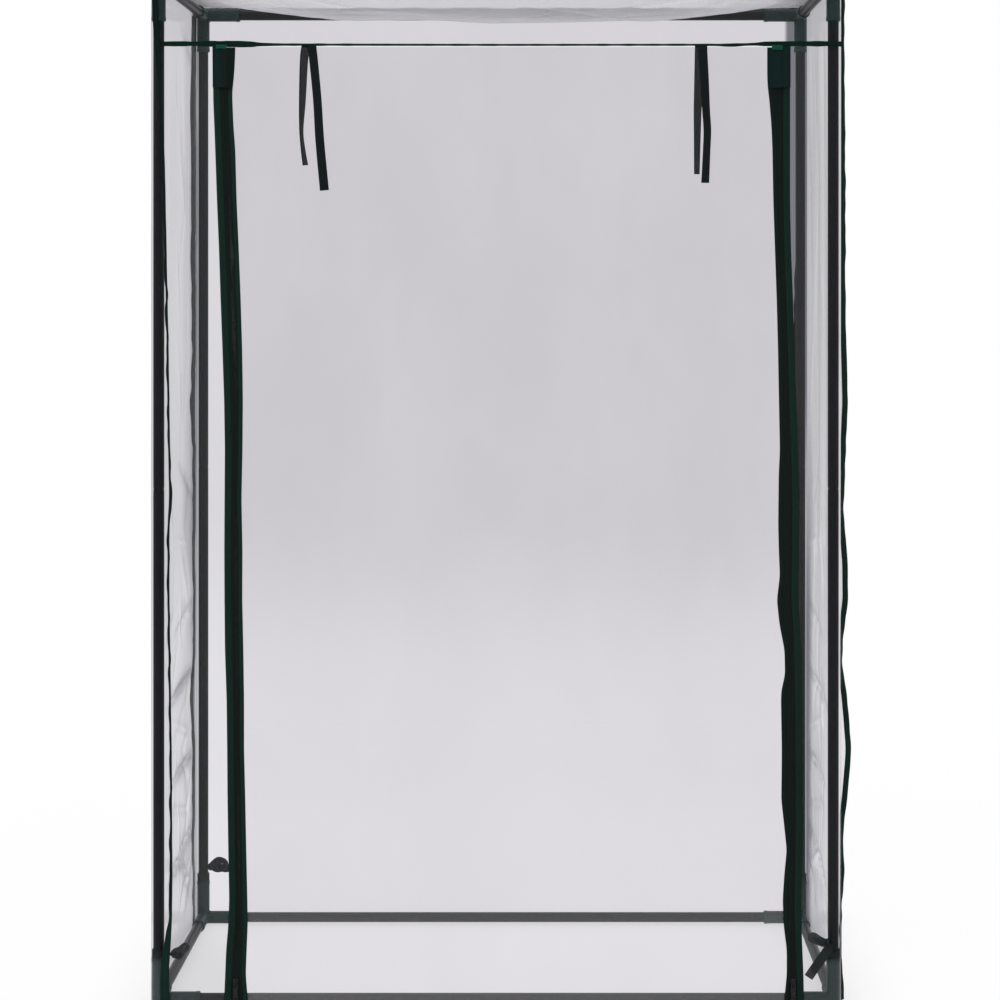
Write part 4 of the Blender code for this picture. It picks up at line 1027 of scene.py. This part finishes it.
# The header's flattened binding: half its height, and the height of its middle
HEADER_HALF = [(-0.49, 0.0037), (-0.425, 0.0034), (-0.40, 0.0046), (-0.36, 0.0046), (-0.335, 0.0024)] + [
    (-0.32, 0.0018), (-0.2, 0.0016), (0.0, 0.0015), (0.2, 0.0015), (0.325, 0.0016), (0.338, 0.0034), (0.350, 0.0018),
    (0.372, 0.0019), (0.392, 0.0036), (0.44, 0.0036), (0.5, 0.0038),
]
HEADER_MIDDLE = [(-0.49, 1.3965), (-0.42, 1.3968), (-0.38, 1.3964), (-0.335, 1.3955), (0.0, 1.3950)] + [
    (0.325, 1.3952), (0.338, 1.3938), (0.352, 1.3954), (0.392, 1.3966), (0.5, 1.3968),
]


def bind(name, points, finish_name="green_binding"):
    """A closed tape from its rings of points."""
    made = Form().add(points, False, True, True).build(f"bound_{name}", finish(finish_name))
    attach(made, f"binding_{name}")


def squared(value, power):
    """Squares off a round profile: the lower the power, the flatter its faces."""
    return np.sign(value) * np.abs(value) ** power


class GREENHOUSE_OT_bindings(bpy.types.Operator):
    """Folded green tape along the upright seams, the roof's edges and the header"""

    bl_idname = "greenhouse.bindings"
    bl_label = "Bound seams"

    def execute(self, context):
        look = context.scene.greenhouse_tapes
        for corner, name in enumerate(CORNERS):
            self.corner(corner, name, look.binding_width, look.binding_thickness)
        for side_number, name in enumerate(("front", "right", "back", "left")):
            self.roof_edge(side_number, name, look.binding_thickness)
        self.header()
        return {"FINISHED"}

    def corner(self, corner, name, width, thickness):
        """An upright tape: it leans so far that it ends where the measured outline does."""
        height = np.linspace(HEM_HEIGHT, FRAME_TOP, 420)
        rise = seam_height(corner, height)
        if corner in SEAM_LEANS:
            lean = np.radians(table(height, SEAM_LEANS[corner]))
        else:
            lean = np.arccos(np.clip((table(height, SEAM_REACHES[corner]) - rise - SEAM_HALF_GAP) / width, 0.04, 1))
        lean = lean + 0.10 * ripple(80 + corner, height, pitch=0.05)
        place = corner_seam(corner, height)
        outward, beside = directions(place)
        out, side = turned_out(outward, beside, lean)
        root = cover_point(place, height, rise + 0.0004 + 0.0008 * np.abs(np.sin(lean)))
        wide = width * (table(height, FIN_WIDENING) if corner == 0 else np.ones(len(height)))
        tape = folded_tape(root, out, side, wide, thickness)
        bind(f"corner_{name}", tape, "shaded_binding" if corner == 0 else "green_binding")

    def roof_edge(self, side_number, name, thickness):
        start = corner_seam(side_number, FRAME_TOP) + ROOF_TAPE_END
        end = corner_seam(side_number + 1, FRAME_TOP) - ROOF_TAPE_END
        place = np.linspace(float(start), float(end), 260 if side_number % 2 == 0 else 130)
        root = cover_point(place, FRAME_TOP + ROOF_SEAM, 0.0009)
        tip = cover_point(place, FRAME_TOP + ROOF_SEAM, 0.0019)
        out = (tip - root) / 0.001
        _, along = directions(place)
        out, side = turned_out(out, np.cross(along, out), 0.16 * ripple(90 + side_number, place, pitch=0.09))
        wide = ROOF_TAPE_WIDTH * (1 + 0.06 * ripple(95 + side_number, place, pitch=0.15))
        bind(f"roof_{name}", folded_tape(root, out, side, wide, thickness))

    def header(self):
        """A flattened tube of tape along the header: its half height and middle follow the measured outline."""
        start, end = corner_seam(0, HEADER_HEIGHT) + 0.005, corner_seam(1, HEADER_HEIGHT) - 0.006
        place = np.linspace(float(start), float(end), 420)
        turn = np.linspace(0, 2 * np.pi, 14, endpoint=False)
        half = table(place, HEADER_HALF) * (1 + 0.08 * ripple(99, place, pitch=0.03))
        height = table(place, HEADER_MIDDLE)[:, None] + squared(np.sin(turn), 0.6) * half[:, None]
        out = 0.0008 + 0.0017 * squared(np.cos(turn), 0.6)
        bind("header", cover_point(place[:, None] + 0 * height, height, out + 0 * height), "header_binding")


# Zips
ZIPS = {
    "left": (-1, LEFT_OUTER_EDGE, LEFT_LINE, LEFT_INNER_EDGE),
    "right": (1, RIGHT_OUTER_EDGE, RIGHT_LINE, RIGHT_INNER_EDGE),
}
# The bar over each zip's head: its middle, and the heights of its lower and upper edge
BARS = {"left": (-0.3970, 1.3890, 1.3950), "right": (0.4072, 1.3872, 1.3945)}
BAR_HALF_WIDTH = 0.0079
TAPE_LEVEL = 0.0011
EDGE_LEVEL, EDGE_THICKNESS = 0.0017, 0.0016


def tape_slab(form, left, right, heights, out, thickness=0.0007, columns=9):
    """A flat tape between two edges: front and back skins that draw together at its edges."""
    share = np.linspace(0, 1, columns)[None]
    x = left[:, None] + (right - left)[:, None] * share
    half = thickness / 2 * np.sqrt(np.clip(1 - np.abs(2 * share - 1) ** 6, 0.08, 1))
    level = out(share, heights[:, None])
    front = cover_point(x, heights[:, None], level + half)
    back = cover_point(x, heights[:, None], level - half)
    return form.add(np.concatenate([front, back[:, ::-1]], 1), False, True, True)


def hood(height):
    """1 over a zip's head, falling to 0 where the cloth closes under the header."""
    return 1 - ease((height - HOOD_EDGE) / HOOD_FALL)


def arched(low, rise, flat, line_first):
    """A patch's level: even from the zip's line over a flat share of its width, then falling to the tape."""

    def level(s, h):
        away = s if line_first else 1 - s
        return low + rise * (1 - ease((away - flat) / 0.45)) * hood(h)

    return level


class GREENHOUSE_OT_zips(bpy.types.Operator):
    """Two zips: woven tapes that meet over the coil, green edges on the door's side, and sewn patches at the top"""

    bl_idname = "greenhouse.zips"
    bl_label = "Zips"

    def execute(self, context):
        for name in ZIPS:
            self.tapes(name)
            self.patches(name)
            self.coil(name, context.scene.greenhouse_tapes.tooth_pitch / 2)
            for part in ("slider", "pull"):
                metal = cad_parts[f"zip_{part}_{name}"].data.materials
                metal.clear()
                metal.append(finish("lacquered_metal"))
        return {"FINISHED"}

    def sewn(self, piece, edges, heights, out, cloth, thickness=0.0007, columns=9):
        """A tape between an outer and an inner edge."""
        left, right = edges if piece.endswith("left") else edges[::-1]
        return tape_slab(Form(), left, right, heights, out, thickness, columns).build(piece, finish(cloth))

    def tapes(self, name):
        """Each tape ends beside the coil; its other edge is bound to the film with folded tape."""
        side, *outlines = ZIPS[name]
        heights = np.linspace(*ZIP_REACH, ZIP_ROWS)
        outer, line, inner = (table(heights, outline) for outline in outlines)
        waves = 0.00025 * ripple(100 + side, heights, pitch=0.08)[:, None]
        tape = self.sewn(
            f"woven_zip_tape_{name}", (outer, line + side * 0.0021), heights,
            lambda s, h: TAPE_LEVEL + waves * arch(s), "zip_weave",
        )
        attach(tape, f"zip_tape_{name}")
        binding = self.sewn(
            f"bound_strip_edge_{name}", (outer, outer - side * 0.0100), heights,
            lambda s, h: EDGE_LEVEL + waves * arch(s), "green_binding", EDGE_THICKNESS,
        )
        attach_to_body(binding, "frame")
        keep = heights < HINGE_HEIGHT - 0.0006
        heights, waves, line, inner = heights[keep], waves[keep], line[keep], inner[keep]
        tape = self.sewn(
            f"woven_door_tape_{name}", (line - side * 0.0022, inner), heights,
            lambda s, h: TAPE_LEVEL + waves * arch(s), "zip_weave",
        )
        across_hinge(tape)
        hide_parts(f"door_tape_{name}")
        binding = self.sewn(
            f"bound_door_edge_{name}", (inner + side * 0.0062, inner), heights,
            lambda s, h: EDGE_LEVEL + waves * arch(s), "green_binding" if side < 0 else "zip_weave", EDGE_THICKNESS,
        )
        across_hinge(binding)

    def patches(self, name):
        """Two green patches that arch over the slider's top stop, with a bright sewn bar under the header."""
        side, *outlines = ZIPS[name]
        head = np.linspace(1.3330, ZIP_REACH[1], 24)
        outer, line, _ = (table(head, outline) for outline in outlines)
        over = arched(0.0029, 0.0066, 0.42 if side > 0 else 0.40, side > 0)
        edges = (outer + side * 0.0006, line)
        patch = self.sewn(f"sewn_patch_{name}", edges, head, over, "patch_cloth", 0.0008, 17)
        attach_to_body(patch, "frame")
        head = np.linspace(1.3325, HINGE_HEIGHT - 0.0004, 22)
        _, line, inner = (table(head, outline) for outline in outlines)
        edges = (line + side * 0.0012, inner - side * 0.0004)
        cloth = "zip_weave" if side < 0 else "patch_cloth"
        over = arched(0.0039, 0.0068, 0.32, side < 0)
        patch = self.sewn(f"sewn_door_patch_{name}", edges, head, over, cloth, 0.0008, 17)
        across_hinge(patch)
        middle, low, high = BARS[name]
        edges = [np.full(6, middle + end * BAR_HALF_WIDTH) for end in (side, -side)]
        bar = self.sewn(
            f"sewn_bar_{name}", edges, np.linspace(low, high, 6), lambda s, h: 0.0052 + 0.0070 * hood(h) + 0 * s,
            "bright_thread", 0.0012,
        )
        across_hinge(bar)

    def coil(self, name, pitch):
        """Interlocked teeth: small rounded beads set alternately left and right of the line, on a backing tape."""
        heights = np.linspace(*ZIP_REACH, ZIP_ROWS)
        line = table(heights, ZIPS[name][2])
        at = np.arange(0.0125, 1.3855, pitch)
        turn = np.linspace(0, 2 * np.pi, 8, endpoint=False)[None]
        ring = np.linspace(-1, 1, 5)[:, None]
        swell = np.array([0.55, 0.9, 0.75, 1.0, 0.6])[:, None]
        bead = [0 * turn + TOOTH_HALF_LENGTH * ring, np.cos(turn) * 0.0009 * swell, np.sin(turn) * 0.00052 * swell]
        bead = np.stack(bead, -1).reshape(-1, 3)
        hand = np.where(np.arange(len(at)) % 2 == 0, -1.0, 1.0)
        spread = bead[None] * np.stack([hand, 1 + 0 * hand, 1 + 0 * hand], -1)[:, None]
        centre = cover_point(np.interp(at, heights, line) + hand * 0.00085, at, 0.0010)
        points = spread + centre[:, None]
        quads = [
            [r + c, r + (c + 1) % 8, r + 8 + (c + 1) % 8, r + 8 + c] for r in range(0, 32, 8) for c in range(8)
        ]
        form = Form().repeat(points[hand < 0], [quad[::-1] for quad in quads]).repeat(points[hand > 0], quads)
        backing = np.linspace(0.0118, 1.3862, 300)
        middle = np.interp(backing, heights, line)
        tape_slab(form, middle - 0.0042, middle + 0.0042, backing, lambda s, h: -0.0004 + 0 * (s + h), 0.0006, 5)
        attach(form.build(f"coil_{name}", finish("nylon_coil"), 60), f"zip_chain_{name}")


# Straps and ties
def ribbon(form, path, across, width, thickness):
    """A flat tape along a path: a flattened round profile, spread along the across direction and its normal."""
    path, across = np.asarray(path, float), np.asarray(across, float)
    tangent = np.gradient(path, axis=0)
    tangent /= np.linalg.norm(tangent, axis=1, keepdims=True)
    across = across - (across * tangent).sum(1, keepdims=True) * tangent
    across /= np.linalg.norm(across, axis=1, keepdims=True)
    normal = np.cross(tangent, across)
    turn = np.linspace(0, 2 * np.pi, 16, endpoint=False)
    s, t = squared(np.cos(turn), 0.35) / 2, squared(np.sin(turn), 0.35) / 2
    wide = np.broadcast_to(width, (len(path),))
    points = (
        path[:, None]
        + across[:, None] * (s[None] * wide[:, None])[..., None]
        + normal[:, None] * (t[None] * thickness)[..., None]
    )
    return form.add(points, False, True, True, flip=True)


def curve_through(knots, count):
    """A smooth curve through its knots: each coordinate eased by a cubic between neighbouring slopes."""
    knots = np.asarray(knots, float)
    slope = np.gradient(knots, axis=0)
    t = np.linspace(0, len(knots) - 1, count)
    i = np.minimum(t.astype(int), len(knots) - 2)
    f = (t - i)[:, None]
    a, b, m, n = knots[i], knots[i + 1], slope[i], slope[i + 1]
    return a * (2 * f**3 - 3 * f**2 + 1) + m * (f**3 - 2 * f**2 + f) + b * (3 * f**2 - 2 * f**3) + n * (f**3 - f**2)


def path_length(path):
    return float(np.linalg.norm(np.diff(path, axis=0), axis=1).sum())


# Each strap's path: across, out from the cover, height, and its twist in degrees
STRAPS = {
    "outer_left": [(-0.2659, 0.0014, 1.3890, 8), (-0.2639, 0.0022, 1.3731, 10), (-0.2583, 0.0036, 1.3152, 14)]
    + [(-0.2547, 0.0044, 1.2572, 8), (-0.2479, 0.0050, 1.1841, -6)],
    "outer_right": [(0.2998, 0.0014, 1.3890, 12), (0.3022, 0.0024, 1.3441, 20), (0.3044, 0.0032, 1.3007, 34)]
    + [(0.3062, 0.0038, 1.2717, 36), (0.3052, 0.0042, 1.2428, 38), (0.3030, 0.0048, 1.1950, 32)],
    "inner_left": [(-0.2749, -0.0022, 1.3960, 10), (-0.2782, -0.0030, 1.3731, 28), (-0.2807, -0.0046, 1.3152, 48)]
    + [(-0.2823, -0.0060, 1.2717, 70), (-0.2797, -0.0060, 1.2428, 66), (-0.2764, -0.0058, 1.2210, 58)],
    "inner_right": [(0.2950, -0.0022, 1.3960, 6), (0.2932, -0.0034, 1.3152, 16), (0.2926, -0.0046, 1.3007, 26)]
    + [(0.2921, -0.0056, 1.2572, 40), (0.2916, -0.0060, 1.2080, 50)],
}


class GREENHOUSE_OT_straps(bpy.types.Operator):
    """The four roll-up straps, each hanging from the header with its own bend and twist"""

    bl_idname = "greenhouse.straps"
    bl_label = "Straps"

    def execute(self, context):
        width = context.scene.greenhouse_tapes.strap_width
        for name, knots in STRAPS.items():
            curve = curve_through(knots, 90)
            path = cover_point(curve[:, 0], curve[:, 2], curve[:, 1])
            twist = np.radians(curve[:, 3])
            across = np.stack([np.cos(twist), -np.sin(twist), 0 * twist], -1)
            if name.startswith("inner"):
                across[:, 1] *= -1
            strap = ribbon(Form(), path, across, width, TAPE_THICKNESS).build(f"woven_strap_{name}", finish("webbing"))
            place, hand = name.split("_")
            if place == "outer":
                across_hinge(strap)
                self.head(hand, knots[0], width)
            else:
                across_hinge(strap)
            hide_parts(f"strap_{name}")
        return {"FINISHED"}

    def head(self, hand, knot, width):
        """The strap's sewn end: a short straight tab from under the header, over the strap's top."""
        z = np.linspace(1.3940, 1.3862, 12)
        path = cover_point(knot[0] + 0 * z, z, 0.0027)
        twist = math.radians(knot[3] * 0.5)
        across = np.tile([math.cos(twist), -math.sin(twist), 0.0], (len(z), 1))
        tab = ribbon(Form(), path, across, width, 0.0009).build(f"sewn_strap_head_{hand}", finish("webbing"))
        across_hinge(tab)


# Each tie, in millimetres: tapes by width, the turn of the tape's face away from the front, in degrees, at both its
# ends, and points of its path as offsets inward, into the depth, and up from the band round the post
TIES = {
    "front_left": [
        (9, (60, 40), [(9, -6, 1), (20, -10, 0), (30, -11, -5), (35, -9, 1), (29, -7, 6), (21, -6, 1), (24, -5, -6)]),
        (9, (35, 60), [(22, -8, -3), (30, -8, 6), (38, -5, 13), (42, -1, 9), (37, 0, 3), (30, -3, 0)]),
    ],
    "front_right": [
        (10, (20, 50), [(8, -6, 4), (12, -9, 16), (22, -11, 23), (30, -8, 27), (33, -3, 21), (25, -3, 16)]
         + [(14, -5, 12)]),
        (13.5, (8, 0), [(4, -9, 16), (10, -11, 6), (20, -12, -8), (29, -11, -21), (37, -10, -33)]),
    ],
    "back_right": [
        (10, (70, 80), [(4, 10, 0), (3, 16, 6), (4, 22, 12), (7, 25, 6), (6, 20, -1), (4, 13, 0)]),
        (11.5, (80, 70), [(4, 12, 2), (6, 22, -4), (9, 34, -12), (11, 44, -22)]),
    ],
    "back_left": [
        (11, (20, 30), [(8, 5, 14), (16, 8, 22), (26, 9, 30), (36, 8, 26), (35, 4, 17), (24, 2, 13), (15, 4, 17)]),
        (11.5, (15, 0), [(20, 4, 21), (28, 2, 16), (36, 1, 13), (43, 1, 15)]),
    ],
}
# Where each tie's knot sits, as an offset like those above, and its radius
KNOTS = {
    "front_left": ((29, -6, 1), 6.4),
    "front_right": ((12, -8, 17), 5.8),
    "back_right": ((4, 13, 0), 5.2),
    "back_left": ((27, 5, 21), 8.8),
}
BAND_WIDTH = 0.011


class GREENHOUSE_OT_ties(bpy.types.Operator):
    """Tapes sewn in the cover and knotted round the posts above the lower connectors"""

    bl_idname = "greenhouse.ties"
    bl_label = "Post ties"

    def execute(self, context):
        for name, tapes in TIES.items():
            across, along = CORNERS[name]
            centre = np.array([across * HALF_WIDTH, along * HALF_DEPTH, TIE_HEIGHT])
            local = np.array([-across, -along, 1.0]) / 1000
            turn = np.linspace(0, 2 * np.pi, 41)
            radius = TUBE_RADIUS + 0.0013
            band = np.stack([radius * np.cos(turn), radius * np.sin(turn), 0.0012 * np.sin(turn)], -1)
            form = ribbon(Form(), centre + band, np.tile([0.0, 0.0, 1.0], (41, 1)), BAND_WIDTH, TAPE_THICKNESS)
            area = BAND_WIDTH * 2 * np.pi * radius
            for width, (first, last), knots in tapes:
                path = centre + curve_through(knots, 12 * len(knots)) * local
                face = np.radians(np.linspace(first, last, len(path)))
                beside = np.cross(np.gradient(path, axis=0), [0.0, -1.0, 0.0])
                beside /= np.linalg.norm(beside, axis=1, keepdims=True)
                spread = beside * np.cos(face)[:, None] + [0, 1, 0] * np.sin(face)[:, None]
                ribbon(form, path, spread, width / 1000, TAPE_THICKNESS)
                area += width / 1000 * path_length(path)
            offset, size = KNOTS[name]
            area += self.knot(form, centre + offset * local, size / 1000)
            made = form.build(f"knotted_tie_{name}", finish("knotted_tape"))
            attach(made, f"post_tie_{name}")
        return {"FINISHED"}

    def knot(self, form, centre, radius):
        """A tape wound along a three-lobed knot: sin t + 2 sin 2t, cos t - 2 cos 2t and -sin 3t."""
        t = np.linspace(0, 2 * np.pi, 73)
        lobes = [np.sin(t) + 2 * np.sin(2 * t), -1.3 * np.sin(3 * t), np.cos(t) - 2 * np.cos(2 * t)]
        path = centre + radius / 3 * np.stack(lobes, -1)
        width = radius * 1.05
        ribbon(form, path, np.cross(np.gradient(path, axis=0), path - centre), width, TAPE_THICKNESS)
        return width * path_length(path)


# Stage
# Each lamp: its place, the height of the point on the axis that it looks at, its size, and the setting of its power
LAMPS = {
    "key_lamp": ((-1.6, -3.6, 3.2), 0.8, 2.6, "key_power"),
    "left_lamp": ((-3.4, -0.6, 1.9), 0.8, 2.2, "fill_power"),
    "right_lamp": ((3.4, -0.8, 1.9), 0.8, 2.2, "fill_power"),
    "back_lamp": ((0.4, 3.4, 2.8), 0.9, 2.6, "fill_power"),
}
SENSOR_SHIFT = (-0.0476, -0.210)
UNDER_SHADE = -0.26


class GREENHOUSE_OT_stage(bpy.types.Operator):
    """Pale floor, even white studio light, soft lamps and the level camera in front of the door"""

    bl_idname = "greenhouse.stage"
    bl_label = "Stage and camera"

    def execute(self, context):
        look = context.scene.greenhouse_stage
        context.scene.view_settings.view_transform = "Standard"
        self.floor()
        self.world(look.ambient)
        for name, (where, aim, size, power) in LAMPS.items():
            light = bpy.data.lights.new(name, "AREA")
            light.size = size
            light.energy = getattr(look, power)
            holder = self.place(name, light, where)
            holder.visible_glossy = False
            holder.rotation_euler = (Vector((0, 0, aim)) - holder.location).to_track_quat("-Z", "Y").to_euler()
        camera = bpy.data.cameras.new("camera")
        camera.lens = look.lens
        camera.sensor_width = 36
        camera.shift_x, camera.shift_y = SENSOR_SHIFT
        camera.clip_end = 60
        where = (look.camera_aside, -HALF_DEPTH - look.camera_distance, look.camera_height)
        holder = self.place("camera", camera, where)
        holder.rotation_euler = (math.pi / 2, 0, 0)
        context.scene.camera = holder
        return {"FINISHED"}

    def place(self, name, data, where):
        holder = bpy.data.objects.new(name, data)
        bpy.context.scene.collection.objects.link(holder)
        holder.location = where
        return holder

    def floor(self):
        """A flat disc that shows the studio's white, a little darker under the greenhouse."""
        radius = np.concatenate([np.linspace(0.0001, 1.6, 20), np.linspace(1.8, 12, 18)])
        turn = np.linspace(0, 2 * np.pi, 64, endpoint=False)
        r, t = np.meshgrid(radius, turn, indexing="ij")
        points = np.stack([r * np.cos(t), r * np.sin(t), 0 * r], -1)
        made, n = new_material("studio_floor")
        reach = n.add("VectorMath", {"operation": "LENGTH"}, {0: n.where()}).outputs["Value"]
        tone = n.mix(n.noise(2.0, 2), (0.93, 0.93, 0.935), (0.95, 0.95, 0.955))
        matt = n.shader("BsdfDiffuse", {"Color": tone})
        white = n.shader("Emission", {"Color": (1, 1, 1), "Strength": 1.0})
        x, y, _ = n.split(n.where())
        under_x = n.ramp(n.size(x), HALF_WIDTH + 0.01, HALF_WIDTH + 0.13, 1, 0)
        under_y = n.ramp(n.size(y), HALF_DEPTH, HALF_DEPTH + 0.12, 1, 0)
        white_share = n.plus(n.times(under_x, under_y, UNDER_SHADE), n.ramp(reach, 0.7, 2.2, 0.93, 1.0))
        n.output(n.shader("MixShader", {0: n.times(white_share, n.shown()), 1: matt, 2: white}))
        Form().add(points, wrap_columns=True, flip=True).build("studio_floor", made)

    def world(self, ambient):
        """White where it is seen, and weaker where it lights."""
        world = bpy.data.worlds.new("studio")
        bpy.context.scene.world = world
        world.use_nodes = True
        n = Nodes(world.node_tree)
        strength = n.plus(n.times(n.shown(), 1 - ambient), ambient)
        light = n.shader("Background", {"Color": (1, 1, 1), "Strength": strength})
        n.output(light, "OutputWorld")


# Panel and registration
STEPS = (
    ("stage", "greenhouse_stage", GREENHOUSE_OT_stage),
    ("tubes", "greenhouse_frame", GREENHOUSE_OT_tubes),
    ("connectors", "greenhouse_frame", GREENHOUSE_OT_connectors),
    ("film", "greenhouse_cover", GREENHOUSE_OT_film),
    ("bindings", "greenhouse_tapes", GREENHOUSE_OT_bindings),
    ("zips", "greenhouse_tapes", GREENHOUSE_OT_zips),
    ("straps", "greenhouse_tapes", GREENHOUSE_OT_straps),
    ("ties", "greenhouse_tapes", GREENHOUSE_OT_ties),
    ("door", "greenhouse_cover", GREENHOUSE_OT_door),
)
GROUPS = {
    "greenhouse_frame": GreenhouseFrame,
    "greenhouse_cover": GreenhouseCover,
    "greenhouse_tapes": GreenhouseTapes,
    "greenhouse_stage": GreenhouseStage,
}


class GREENHOUSE_PT_panel(bpy.types.Panel):
    """Lists the greenhouse's settings and the steps that make its pieces"""

    bl_idname = "GREENHOUSE_PT_panel"
    bl_label = "Tomato greenhouse"
    bl_space_type = "VIEW_3D"
    bl_region_type = "UI"
    bl_category = "Greenhouse"

    def draw(self, context):
        for name, group in GROUPS.items():
            column = self.layout.column(align=True)
            for key in group.__annotations__:
                column.prop(getattr(context.scene, name), key)
        for _, _, operator in STEPS:
            self.layout.operator(operator.bl_idname)


CLASSES = (*GROUPS.values(), *(step[2] for step in STEPS), GREENHOUSE_PT_panel)


def register():
    for entry in CLASSES:
        bpy.utils.register_class(entry)
    for name, group in GROUPS.items():
        setattr(bpy.types.Scene, name, bpy.props.PointerProperty(type=group))


def unregister():
    for name in GROUPS:
        delattr(bpy.types.Scene, name)
    for entry in reversed(CLASSES):
        bpy.utils.unregister_class(entry)


def main():
    register()
    for name, _, _ in STEPS:
        getattr(bpy.ops.greenhouse, name)()
    bpy.context.view_layer.update()


if __name__ == "__main__":
    main()
